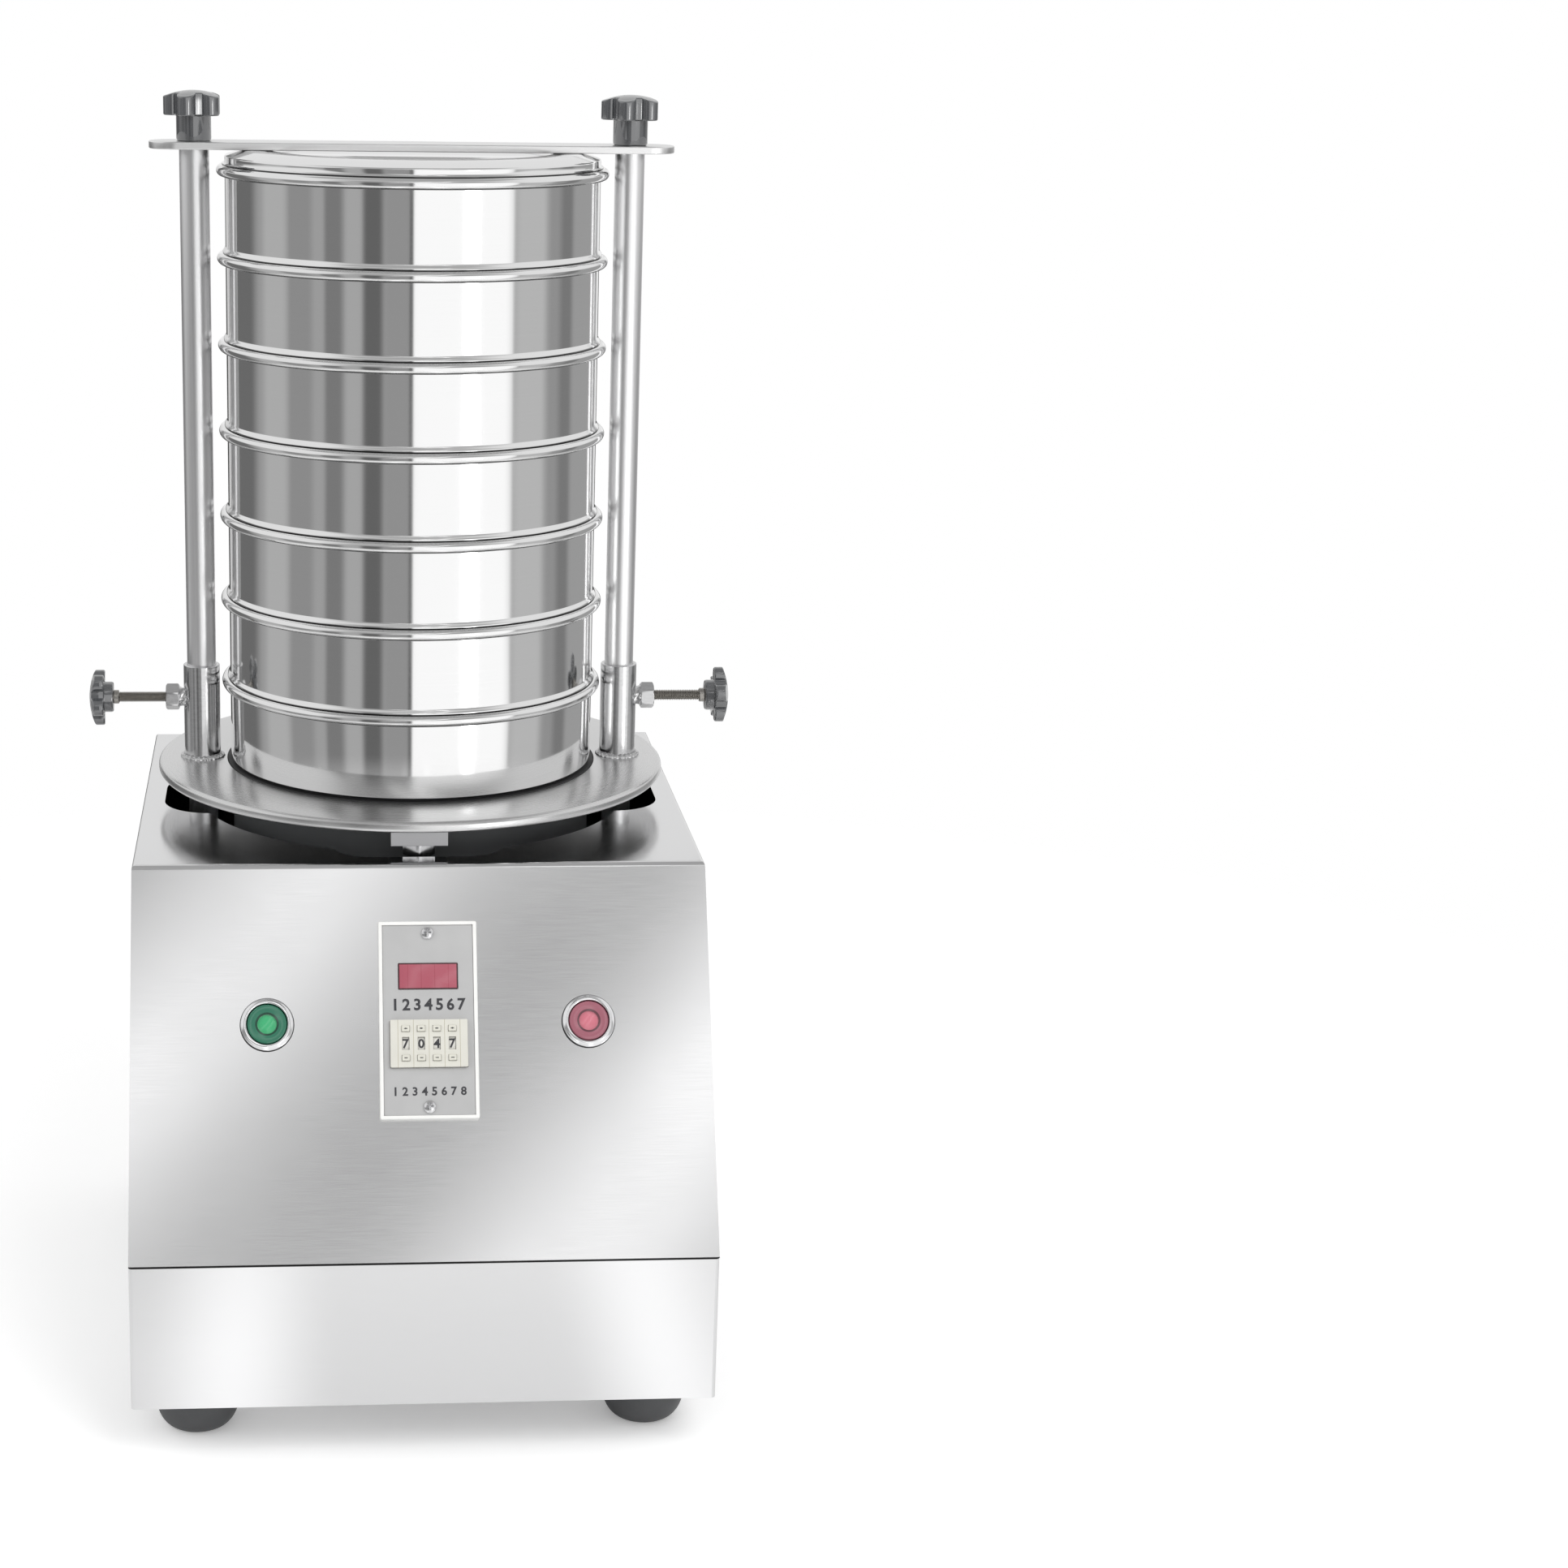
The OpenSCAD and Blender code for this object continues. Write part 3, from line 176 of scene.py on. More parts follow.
def metal(name, colour, roughness, stretch, contrast=0.03, lines=0.03, place=object_place):
    """Metal whose grain changes its colour, gloss and height a little, and whose marks change its gloss.

    roughness holds the glossiest and the dullest value, and stretch the grain's scale on each axis."""
    made = material(name, colour, roughness[0], 1.0)
    grain = made.node_tree.nodes.new("ShaderNodeGroup")
    grain.node_tree = GRAIN
    feed(place(made), grain.inputs["Vector"])
    feed(stretch, grain.inputs["Stretch"])
    fine, marks = grain.outputs
    shade(made, fine, colour, contrast)
    gloss = calc("ADD", from_noise(marks, *roughness), from_noise(fine, -GRAIN_GLOSS, GRAIN_GLOSS))
    feed(gloss, surface(made, "Roughness"))
    bump(made, fine, lines, GRAIN_DEPTH)
    return made


def darken(finish, mask, colour):
    """Lays a colour over what feeds Base Color, where mask is 1."""
    base = surface(finish, "Base Color")
    feed(mix(mask, base.links[0].from_socket, colour), base)


def wear(finish, *names):
    """Gives CAD nodes their finish."""
    for name in names:
        nodes[name].data.materials.clear()
        nodes[name].data.materials.append(finish)


hood_low, hood_high = box_mm("upper_cover")
casing_satin = metal("casing_satin", (0.83, 0.83, 0.835), (0.12, 0.145), (60, 2500, 2500), 0.01, 0.012)
# Painted shade: a dark line along the seam, standing in for the shadow in the gap between cover and tray
from_seam = calc("ABSOLUTE", calc("SUBTRACT", split(object_place(casing_satin))[2], hood_low[2] * MM))
darken(casing_satin, ramp(from_seam, SEAM_SHADE_HALF, SEAM_SHADE_HALF * 0.6), (0.02, 0.02, 0.02))
wear(casing_satin, "base_tray", "upper_cover")

# Feet
# Four round bulging feet of dark grey rubber, each with a pocket in its flat bottom for the head of the
# bolt that holds it to the tray.

FOOT_R, FOOT_FLAT_R, FOOT_EDGE, FOOT_ROUND_H = 22, 12, 0.8, 16
FOOT_POCKET_R, FOOT_POCKET_H, FOOT_HOLE_R = 7.5, 10, 4.2


def arc(x, y, r, start, end, steps):
    """Points of an arc about (x, y), from start to end in degrees."""
    angle = np.radians(np.linspace(start, end, steps + 1))
    return np.stack([x + r * np.cos(angle), y + r * np.sin(angle)], -1)


def link(made):
    bpy.context.scene.collection.objects.link(made)


def grid(points, wrap_rows=False):
    """Points (rows, columns, 3) and the quads between neighbours. Each row of points closes on itself."""
    rows, columns = points.shape[:2]
    index = np.arange(rows * columns).reshape(rows, columns)
    if wrap_rows:
        index = np.vstack([index, index[:1]])
    index = np.hstack([index, index[:, :1]])
    quads = np.stack([index[:-1, :-1], index[:-1, 1:], index[1:, 1:], index[1:, :-1]], -1)
    return points.reshape(-1, 3), [quads.reshape(-1, 4)]


def around(count):
    """Evenly spaced angles of a full turn."""
    return np.linspace(0, 2 * np.pi, count, endpoint=False)


def polar(radius, angle, height):
    """Points (radius * cos a, radius * sin a, height)."""
    return np.stack(np.broadcast_arrays(radius * np.cos(angle), radius * np.sin(angle), height), -1)


def turned(section, segments=96):
    """A section of (radius, height) rows carried round the z axis.

    A section that starts on the axis is closed by its two poles, and any other closes on itself."""
    section = np.asarray(section, float)
    points = polar(section[:, :1], around(segments), section[:, 1:])
    return grid(points, wrap_rows=section[0, 0] > 0)


def placed(mesh, origin, across=(1, 0, 0), along=(0, 1, 0), out=(0, 0, 1)):
    """A mesh moved from its own frame to origin, with its x, y and z along the three directions."""
    points, faces = mesh
    return points @ np.array([across, along, out], float) + np.asarray(origin, float), faces


def joined(meshes):
    """Several meshes as one."""
    points, faces, count = [], [], 0
    for some_points, some_faces in meshes:
        points.append(some_points)
        faces.extend(block + count for block in some_faces)
        count += len(some_points)
    return np.vstack(points), faces


def piece(name, mesh, finish, body, stands_for=(), crease=30):
    """A finished object from a mesh in millimetres. It rides on body, if any, and stands for CAD nodes.

    Doubled points at poles and seams are merged, and edges sharper than crease degrees stay crisp."""
    points, faces = mesh
    data = bpy.data.meshes.new(name)
    data.from_pydata((points * MM).tolist(), [], [face for block in faces for face in block.tolist()])
    work = bmesh.new()
    work.from_mesh(data)
    bmesh.ops.remove_doubles(work, verts=work.verts, dist=1e-7)
    bmesh.ops.recalc_face_normals(work, faces=work.faces)
    work.to_mesh(data)
    work.free()
    data.polygons.foreach_set("use_smooth", np.ones(len(data.polygons), bool))
    data.set_sharp_from_angle(angle=math.radians(crease))
    data.materials.append(finish)
    made = bpy.data.objects.new(name, data)
    link(made)
    if body:
        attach(made, body)
    if stands_for:
        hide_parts(*stands_for)
    return made


def moulded(name, colour, roughness, scale, relief, mottle=0.08, **sockets):
    """Rubber, plastic or enamel: a fine skin texture, with its colour and gloss a little uneven."""
    made = material(name, colour, roughness, **sockets)
    place = object_place(made)
    slow = noise(place, scale / 20)
    shade(made, slow, colour, mottle)
    feed(from_noise(slow, roughness * 0.9, roughness * 1.1), surface(made, "Roughness"))
    bump(made, noise(place, scale), relief, SKIN_DEPTH)
    return made


def corners(low, high, inset, z):
    """The four places that stand inset from the corners of a box."""
    return [(x, y, z) for x in (low[0] + inset, high[0] - inset) for y in (low[1] + inset, high[1] - inset)]


SKIN_DEPTH = 0.05 * MM
foot_rubber = moulded("foot_rubber", (0.078, 0.08, 0.083), 0.55, 2500, 0.4)
feet_low, feet_high = box_mm("rubber_feet")
foot_h = feet_high[2]
bulge = np.radians(np.arange(5, 91, 5))
foot_section = [
    (FOOT_POCKET_R, FOOT_POCKET_H), (FOOT_POCKET_R, 0), (FOOT_FLAT_R - FOOT_EDGE, 0),
    *zip(FOOT_FLAT_R + (FOOT_R - FOOT_FLAT_R) * np.sin(bulge), FOOT_ROUND_H * (1 - np.cos(bulge))),
    (FOOT_R, foot_h), (FOOT_HOLE_R, foot_h), (FOOT_HOLE_R, FOOT_POCKET_H),
]
feet = joined([placed(turned(foot_section, 72), place) for place in corners(feet_low, feet_high, FOOT_R, 0)])
piece("rubber_feet_set", feet, foot_rubber, "casing", ["rubber_feet"])

zinc = metal("bright_zinc", (0.78, 0.78, 0.79), (0.14, 0.24), (900, 900, 900), 0.06, 0.1)
wear(zinc, "foot_bolts")

# Screws of the casing, the timer and the inlet
# Round headed cross recessed screws of bright plated steel. Eight hold the cover and the spring beams to
# the tray's sides, two hold the timer's face, and two small ones hold the inlet.

# Head radius, shank radius and shank length at the sides, the timer and the inlet
SCREWS = (4.5, 2.5, 10), (3.5, 1.5, 6), (1.75, 1.3, 6)
HEAD_RISE = 0.68
RECESS_REACH, RECESS_HALF, RECESS_DEPTH = 0.52, 0.11, 0.45
SCREW_INSET, LIP_SCREW_RISE = 25, 8
INLET_SCREW_HALF, INLET_SINK = 20, 1.2


def recessed_screw(head_r, shank_r, shank_l):
    """A domed head on z = 0 with a cross recess, and a plain shank below.

    Over the head the height is an ellipse in the radius, less the recess's depth inside the cross."""
    radius = np.concatenate([np.linspace(0, RECESS_REACH * 1.15, 13), np.linspace(0.65, 1, 9)]) * head_r
    radius, angle = np.meshgrid(radius, around(64), indexing="ij")
    x, y = radius * np.cos(angle), radius * np.sin(angle)
    height = head_r * HEAD_RISE * np.sqrt(np.clip(1 - (radius / head_r) ** 2, 0, 1))
    near = np.minimum(np.abs(x), np.abs(y)) / head_r
    far = np.maximum(np.abs(x), np.abs(y)) / head_r
    inside = np.clip((RECESS_HALF - near) / 0.03, 0, 1) * np.clip((RECESS_REACH - far) / 0.05, 0, 1)
    dome = np.stack([x, y, height - inside * RECESS_DEPTH * head_r], -1)
    below = [(0, -shank_l), (shank_r - 0.4, -shank_l), (shank_r, 0.4 - shank_l), (shank_r, 0), (head_r, 0)]
    return joined([grid(dome), turned(below, 64)])


beams_low, beams_high = box_mm("spring_beams")
inlet_low, inlet_high = box_mm("power_inlet")
TIMER_DROP, TIMER_W, TIMER_H, TIMER_PROUD, TIMER_SCREW_INSET = 31.6, 51.0, 103.0, 5.0, 6.3
FACE_OUT = TIMER_PROUD - 0.8
PANEL_RUN, CONTROLS_X = 100, 3
seam_z, top_z = hood_low[2], hood_high[2]
panel_tilt = math.atan2(top_z - seam_z, PANEL_RUN)
UP_SLOPE = np.array([0, math.cos(panel_tilt), math.sin(panel_tilt)])
OUT_OF_PANEL = np.array([0, -math.sin(panel_tilt), math.cos(panel_tilt)])
panel_top = np.array([0, hood_low[1] + PANEL_RUN, top_z])


def on_panel(mesh, x, drop, out=0.0):
    """A mesh set on the sloping panel: drop goes down the slope from its top edge, and out stands off it."""
    origin = panel_top + (x, 0, 0) - drop * UP_SLOPE + out * OUT_OF_PANEL
    return placed(mesh, origin, (1, 0, 0), UP_SLOPE, OUT_OF_PANEL)


def sideways(side):
    """The directions of a part that points to one side of the machine."""
    return (0, side, 0), (0, 0, 1), (side, 0, 0)


screw_ys = [beams_low[1] + SCREW_INSET, beams_high[1] - SCREW_INSET]
screw_zs = [(seam_z + box_mm("base_tray")[0][2]) / 2, seam_z + LIP_SCREW_RISE]
side_screw, timer_screw, inlet_screw = (recessed_screw(*size) for size in SCREWS)
inlet_mid = (inlet_low + inlet_high) / 2
screws = [
    placed(side_screw, (side * hood_high[0], y, z), *sideways(side))
    for side in (-1, 1) for y in screw_ys for z in screw_zs
]
screws += [
    on_panel(timer_screw, CONTROLS_X, TIMER_DROP + drop, FACE_OUT)
    for drop in (TIMER_SCREW_INSET, TIMER_H - TIMER_SCREW_INSET)
]
screws += [
    placed(inlet_screw, (x, inlet_high[1] - INLET_SINK, inlet_mid[2]), (-1, 0, 0), (0, 0, 1), (0, 1, 0))
    for x in (inlet_mid[0] - INLET_SCREW_HALF, inlet_mid[0] + INLET_SCREW_HALF)
]
piece("recessed_screws", joined(screws), zinc, "casing", ["case_screws"])

# Timer
# A plug-in timer: a white moulded housing with a raised border, a grey printed face, a red display
# window, and a cream block of four push wheels, each with a plus and a minus tab.

WINDOW_W, WINDOW_H, WINDOW_DROP, WINDOW_OUT, WINDOW_RIM = 30.8, 13.7, 22.0, 4.6, 0.75
FLOOR_OUT, BORDER, TIMER_CORNER = 2.0, 2.0, 1.0
WHEELS_H, WHEELS_DROP = 24.6, 51.8
WHEEL_PITCH, WHEEL_R, WHEEL_SINK, BLOCK_OUT = 8.0, 9.5, 0.9, 6.5
BODY_INSET, BODY_DEPTH, BODY_WALL = 3.0, 55.0, 2.0
window_mid, wheel_mid = WINDOW_DROP + WINDOW_H / 2, WHEELS_DROP + WHEELS_H / 2
BLOCK_JOINT_HALF = 0.13 * MM
DIGIT_PITCH, DIGIT_LINE_HALF, DIGIT_LINES_SHOW = 7 * MM, 0.16 * MM, 0.45


def rectangle(width, height, r, steps=6):
    """The points of a rectangle with round corners, anticlockwise."""
    return np.vstack([
        arc(sx * (width / 2 - r), sy * (height / 2 - r), r, start, start + 90, steps)
        for sx, sy, start in ((1, 1, 0), (-1, 1, 90), (-1, -1, 180), (1, -1, 270))
    ])


def swept(width, height, r, section, caps=False, steps=6):
    """A section of (inset, height) rows carried round a rectangle: a row is the rectangle drawn in by its
    inset, with a corner radius less by as much. With caps the first and the last row are filled in, and
    without them the section closes on itself."""
    rows = np.stack([
        rectangle(width - 2 * inset, height - 2 * inset, max(r - inset, 0), steps) for inset, _ in section
    ])
    level = np.asarray(section, float)[:, 1:, None] + 0 * rows[:, :, :1]
    mesh = grid(np.concatenate([rows, level], -1), wrap_rows=not caps)
    if caps:
        index = np.arange(len(mesh[0])).reshape(rows.shape[:2])
        mesh[1].extend([index[:1, ::-1], index[-1:]])
    return mesh


def on_timer(mesh, x=0.0, drop=0.0, out=0.0):
    """A mesh set on the timer, drop below the timer's upper edge."""
    return on_panel(mesh, CONTROLS_X + x, TIMER_DROP + drop, out)


timer_white = moulded("timer_white", (0.83, 0.83, 0.81), 0.38, 1800, 0.12, 0.02)
cream_plastic = moulded("cream_plastic", (0.66, 0.65, 0.59), 0.36, 1500, 0.12, 0.02)
ink_black = moulded("ink_black", (0.045, 0.045, 0.05), 0.5, 900, 0.05)


def panel_place(finish, drop):
    """The panel's own x from the controls' line, y up from drop, and z out."""
    place = object_place(finish)
    origin = (panel_top + (CONTROLS_X, 0, 0) - drop * UP_SLOPE) * MM
    made = node("Mapping", {"Vector": place, "Location": origin, "Rotation": (panel_tilt, 0, 0)})
    made.vector_type = "TEXTURE"
    return split(made.outputs[0])


def stripes(value, middles, half):
    """1 where a value is within half of one of the middles, with thin soft edges."""
    marks = 0.0
    for middle in middles:
        away = calc("ABSOLUTE", calc("SUBTRACT", value, middle))
        marks = calc("MAXIMUM", ramp(away, half * 1.1, half * 0.9), marks)
    return marks


# Fine joints between the four wheel units, as dark lines on the cream block
block_x = panel_place(cream_plastic, TIMER_DROP + wheel_mid)[0]
joints = stripes(block_x, np.arange(-2, 3) * WHEEL_PITCH * MM, BLOCK_JOINT_HALF)
darken(cream_plastic, joints, (0.42, 0.39, 0.3))

border_section = [
    (0, 0), *arc(0.7, TIMER_PROUD - 0.7, 0.7, 180, 90, 5),
    *arc(BORDER - 0.4, TIMER_PROUD - 0.4, 0.4, 90, 0, 4), (BORDER, FLOOR_OUT), (BORDER + 0.1, 0),
]
body_section = [(BODY_WALL, BODY_WALL - BODY_DEPTH), (BODY_WALL, 0), (0, 0), (0, -BODY_DEPTH)]
housing = joined([
    swept(TIMER_W, TIMER_H, TIMER_CORNER, border_section),
    swept(TIMER_W - 2 * BODY_INSET, TIMER_H - 2 * BODY_INSET, TIMER_CORNER, body_section, caps=True),
])
piece("timer_frame", on_timer(housing, drop=TIMER_H / 2), timer_white, "casing", ["timer_housing"])
wear(moulded("timer_grey", (0.45, 0.45, 0.45), 0.42, 1500, 0.1, 0.03), "timer_faceplate")
wear(cream_plastic, "timer_wheel_block")

# The display is a red filter with a thin dark edge, and the borders of its digits show faintly behind it
display_red = moulded(
    "display_red", (0.38, 0.085, 0.12), 0.16, 600, 0.02, 0.04, Coat_Weight=0.5, Coat_Roughness=0.05
)
window_x, window_y, _ = panel_place(display_red, TIMER_DROP + window_mid)
rim = 0.0
for place, size in ((window_x, WINDOW_W), (window_y, WINDOW_H)):
    edge = size / 2 - WINDOW_RIM
    rim = calc("MAXIMUM", ramp(calc("ABSOLUTE", place), edge * MM, (edge + 0.2) * MM), rim)
digit_lines = stripes(window_x, np.arange(-1.5, 2) * DIGIT_PITCH, DIGIT_LINE_HALF)
darken(display_red, times(digit_lines, DIGIT_LINES_SHOW), (0.25, 0.03, 0.05))
darken(display_red, rim, (0.06, 0.015, 0.02))
window_section = [(0, FLOOR_OUT), *arc(0.3, WINDOW_OUT - 0.3, 0.3, 180, 90, 4)]
window = swept(WINDOW_W, WINDOW_H, 0.6, window_section, caps=True)
piece("display_window", on_timer(window, drop=window_mid), display_red, "casing", ["timer_window"])

# Printed numerals
# Plain numerals printed on the face and on the four wheels, and the signs on the tabs.

PRINT_T, BOLD = 0.06, 0.028
GLYPH_CUTS, GLYPH_TOP = 9, 0.7
ROW_W, WHEEL_NUMERAL_H = 40, 4.9
# Count, height and drop of the rows of numerals
UPPER_ROW, LOWER_ROW = (7, 6.2, 43.6), (8, 4.5, 88.6)
TAB_W, TAB_H, TAB_T, TAB_PROUD, TAB_OFFSET = 4.0, 3.0, 2.5, 1.2, 7.6
SIGN, SIGN_T, SIGN_SINK = 1.7, 0.42, 0.25
SHOWN = (7, 0, 4, 7)


def glyphs(text, height):
    """Flat characters as a mesh, centred, with the given height. They are cut into strips, so that they
    can be wrapped round a wheel."""
    curve = bpy.data.curves.new("glyph", "FONT")
    curve.body = text
    curve.resolution_u = 3
    curve.offset = BOLD
    holder = bpy.data.objects.new("glyph", curve)
    link(holder)
    bpy.context.view_layer.update()
    flat = bpy.data.meshes.new_from_object(holder)
    work = bmesh.new()
    work.from_mesh(flat)
    bmesh.ops.remove_doubles(work, verts=work.verts, dist=1e-5)
    for cut in np.linspace(0, GLYPH_TOP, GLYPH_CUTS):
        bmesh.ops.bisect_plane(
            work, geom=work.verts[:] + work.edges[:] + work.faces[:], plane_co=(0, cut, 0), plane_no=(0, 1, 0)
        )
    work.to_mesh(flat)
    work.free()
    points = np.empty(len(flat.vertices) * 3)
    flat.vertices.foreach_get("co", points)
    points = points.reshape(-1, 3)
    faces = [np.array([polygon.vertices[:]]) for polygon in flat.polygons]
    bpy.data.objects.remove(holder)
    bpy.data.meshes.remove(flat)
    bpy.data.curves.remove(curve)
    low, high = points.min(0), points.max(0)
    points = (points - (low + high) / 2) * height / (high[1] - low[1])
    points[:, 2] = PRINT_T
    return points, faces


def numeral_row(count, height, drop):
    """The numerals from 1 to count, spaced evenly over ROW_W on the timer's face."""
    return [
        on_timer(glyphs(str(i + 1), height), ROW_W * ((i + 0.5) / count - 0.5), drop, FACE_OUT)
        for i in range(count)
    ]


def bar(width, height):
    """A flat bar as one quad, which lies a little under its tab's edge."""
    quad = np.array([(-1, -1, 0), (1, -1, 0), (1, 1, 0), (-1, 1, 0)])
    return quad * (width / 2, height / 2, 0) + (0, 0, PRINT_T - SIGN_SINK), [np.array([[0, 1, 2, 3]])]


print_rows = joined(numeral_row(*UPPER_ROW) + numeral_row(*LOWER_ROW))
piece("face_numerals", print_rows, ink_black, "casing")

# Each wheel carries ten numerals, 36 degrees apart, wrapped round its rim
wheel_white = moulded("wheel_white", (0.69, 0.68, 0.64), 0.45, 1500, 0.1, 0.02)
tab_white = moulded("tab_plastic", (0.65, 0.64, 0.57), 0.38, 1500, 0.1, 0.02)
wheel_out = BLOCK_OUT - WHEEL_SINK - WHEEL_R
tab_section = [(0, -TAB_T), *arc(0.35, -0.35, 0.35, 180, 90, 4), (0.8, -0.05), (1.2, -0.25)]
tab_shape = swept(TAB_W, TAB_H, 0.35, tab_section, caps=True)


def wrapped(mesh, turn):
    """Bends a flat mesh round the wheel's rim: its y becomes an angle, counted from turn degrees."""
    points, faces = mesh
    angle = points[:, 1] / WHEEL_R + math.radians(turn)
    reach = WHEEL_R + points[:, 2]
    return np.stack([points[:, 0], reach * np.sin(angle), reach * np.cos(angle)], -1), faces


for wheel in (1, 2, 3, 4):
    x = (wheel - 2.5) * WHEEL_PITCH
    wear(wheel_white, f"digit_wheel_{wheel}")
    ring = [
        wrapped(glyphs(str((SHOWN[wheel - 1] + step) % 10), WHEEL_NUMERAL_H), -36 * step)
        for step in range(10)
    ]
    ring = on_timer(joined(ring), x, wheel_mid, wheel_out)
    piece(f"wheel_numerals_{wheel}", ring, ink_black, f"digit_wheel_{wheel}")
    for side, name in ((1, "plus"), (-1, "minus")):
        place = (x, wheel_mid - side * TAB_OFFSET, BLOCK_OUT + TAB_PROUD)
        body = f"{name}_tab_{wheel}"
        piece(f"{name}_button_{wheel}", on_timer(tab_shape, *place), tab_white, body, [body])
        sign = [bar(SIGN, SIGN_T)]
        if side == 1:
            sign.append(bar(SIGN_T, SIGN))
        piece(f"{name}_sign_{wheel}", on_timer(joined(sign), *place), ink_black, body)

# Push buttons
# Two 22 mm push buttons with lens caps, green to start and red to stop, in bright chromed bezels that
# clamp the switches to the panel.

BUTTON_HALF_SPAN, BUTTON_DROP = 83.0, 84.3
CAP_R, CAP_PROUD = 10.2, 3.2
BEZEL_R, BEZEL_H, BEZEL_GAP, BEZEL_MOUTH, BARREL_R, BARREL_L = 14.0, 3.6, 0.2, 0.45, 11.2, 22.0
GASKET_BORE_R, GASKET_T = BARREL_R + 0.1, 0.7
LENS_R, LENS_EDGE = 5.3, 0.5
mat_rubber = moulded("mat_rubber", (0.02, 0.02, 0.021), 0.6, 1500, 0.3)
chrome = metal("chrome", (0.93, 0.93, 0.94), (0.05, 0.09), (400, 400, 400), 0.02, 0.02)
bezel_section = [
    (CAP_R + BEZEL_GAP, -BARREL_L), (BARREL_R, -BARREL_L), (BARREL_R, GASKET_T),
    *arc(BEZEL_R - 0.7, GASKET_T + 0.3, 0.3, -90, 0, 3),
    *arc(BEZEL_R - 1.8, 1.6, 1.4, 0, 60, 6),
    *arc(BEZEL_R - 2.3, BEZEL_H - 0.5, 0.5, 30, 90, 4),
    *arc(CAP_R + BEZEL_MOUTH + 0.5, BEZEL_H - 0.5, 0.5, 90, 160, 4),
    (CAP_R + BEZEL_MOUTH, 1.2), (CAP_R + BEZEL_GAP, 0.8),
]
gasket_section = [
    (GASKET_BORE_R, 0), (BEZEL_R, 0), (BEZEL_R, 0.25), (BEZEL_R - 0.1, GASKET_T), (GASKET_BORE_R, GASKET_T),
]


def at_buttons(section, sides=(-1, 1)):
    """A turned section at the start button, on side -1, at the stop button, on side 1, or at both."""
    xs = [CONTROLS_X + side * BUTTON_HALF_SPAN for side in sides]
    return joined([on_panel(turned(section), x, BUTTON_DROP) for x in xs])


piece("chromed_bezels", at_buttons(bezel_section), chrome, "casing", ["button_bezels"])
piece("bezel_gaskets", at_buttons(gasket_section), mat_rubber, "casing")

cap_section = [
    (0, -24), (4, -24), (4, -12), (CAP_R, -12),
    *arc(CAP_R - 0.9, CAP_PROUD - 0.9, 0.9, 0, 90, 6),
    (CAP_R - 3.2, CAP_PROUD - 0.12),
    *arc(LENS_R - 0.3, CAP_PROUD - 0.7, 0.5, 80, 20, 4),
    (LENS_R - 0.5, CAP_PROUD - 1.2),
    *zip(np.linspace(LENS_R - 0.9, 0, 8), CAP_PROUD - 1.2 + 0.35 * (1 - np.linspace(1, 0, 8) ** 2)),
]


def distance(x, y):
    """The length of (x, y)."""
    return calc("SQRT", calc("ADD", times(x, x), times(y, y)))


def lens_colour(name, edge, middle, side):
    """A tinted lens cap: a bright round middle of painted light, where the lens seems to glow, a dark line of
    painted shade round the lens's rim, and the edge's colour outside.
    """
    made = moulded(name, edge, 0.14, 900, 0.02, 0.03, Coat_Weight=0.6, Coat_Roughness=0.04)
    x, y, _ = panel_place(made, BUTTON_DROP)
    from_middle = distance(calc("SUBTRACT", x, side * BUTTON_HALF_SPAN * MM), y)
    # Painted light: the lens's middle is laid in a brighter colour
    darken(made, ramp(from_middle, LENS_R * MM, (LENS_R - LENS_EDGE) * MM), middle)
    # Painted shade: a dark line round the rim of the lens's recess
    lens_rim_shade = stripes(from_middle, [(LENS_R + LENS_EDGE / 2) * MM], LENS_EDGE * MM)
    darken(made, lens_rim_shade, [c / 3 for c in edge])
    return made


# Each cap: its edge colour, and the brighter middle colour, which is painted light in its lens
for side, body, name, edge, middle in (
    (-1, "start_button", "green_cap", (0.022, 0.15, 0.09), (0.05, 0.4, 0.17)),
    (1, "stop_button", "red_cap", (0.32, 0.105, 0.14), (0.59, 0.17, 0.22)),
):
    piece(name, at_buttons(cap_section, [side]), lens_colour(name, edge, middle, side), body, [body])

wear(moulded("black_plastic", (0.03, 0.03, 0.032), 0.42, 1500, 0.15), "switch_bodies", "power_inlet")

# Inside the casing
# Painted steel beams carry four coil springs, which carry the painted motor cage. The cage's carrier bar is
# bare ground steel. The run capacitor stands on the tray's floor in its aluminium can.

CARRIER_BAR_T = 10
ORANGE_PEEL = (300, 0.25, 0.06)
SPRING_R, WIRE_R, SPRING_TURNS, SPRING_SIDES = 16, 2, 7, 12
cage_paint = moulded("cage_paint", (0.15, 0.155, 0.16), 0.38, *ORANGE_PEEL)
plate_low, plate_high = box_mm("support_plate")
bar_z = plate_low[2] - CARRIER_BAR_T
bare = ramp(split(object_place(cage_paint))[2], (bar_z + 0.05) * MM, (bar_z + 0.15) * MM)
darken(cage_paint, bare, (0.47, 0.47, 0.48))
feed(bare, surface(cage_paint, "Metallic"))
spring_steel = metal("spring_steel", (0.34, 0.34, 0.36), (0.3, 0.42), (500, 500, 500), 0.08, 0.1)
shaft_steel = metal("shaft_steel", (0.66, 0.66, 0.67), (0.16, 0.24), (60, 60, 4000), 0.04, 0.08)
wear(cage_paint, "motor_cage")
wear(moulded("beam_paint", (0.1, 0.11, 0.12), 0.4, *ORANGE_PEEL), "spring_beams")
wear(moulded("motor_paint", (0.16, 0.18, 0.2), 0.42, *ORANGE_PEEL), "motor_housing")
wear(moulded("motor_castings", (0.2, 0.2, 0.21), 0.55, 500, 0.5), "motor_end_bells")
wear(moulded("cast_weight", (0.07, 0.07, 0.075), 0.6, 400, 0.5), "eccentric_weights")
wear(shaft_steel, "motor_shaft", "motor_bearings")
wear(metal("capacitor_can", (0.72, 0.73, 0.75), (0.28, 0.38), (60, 1500, 1500), 0.05, 0.08), "run_capacitor")


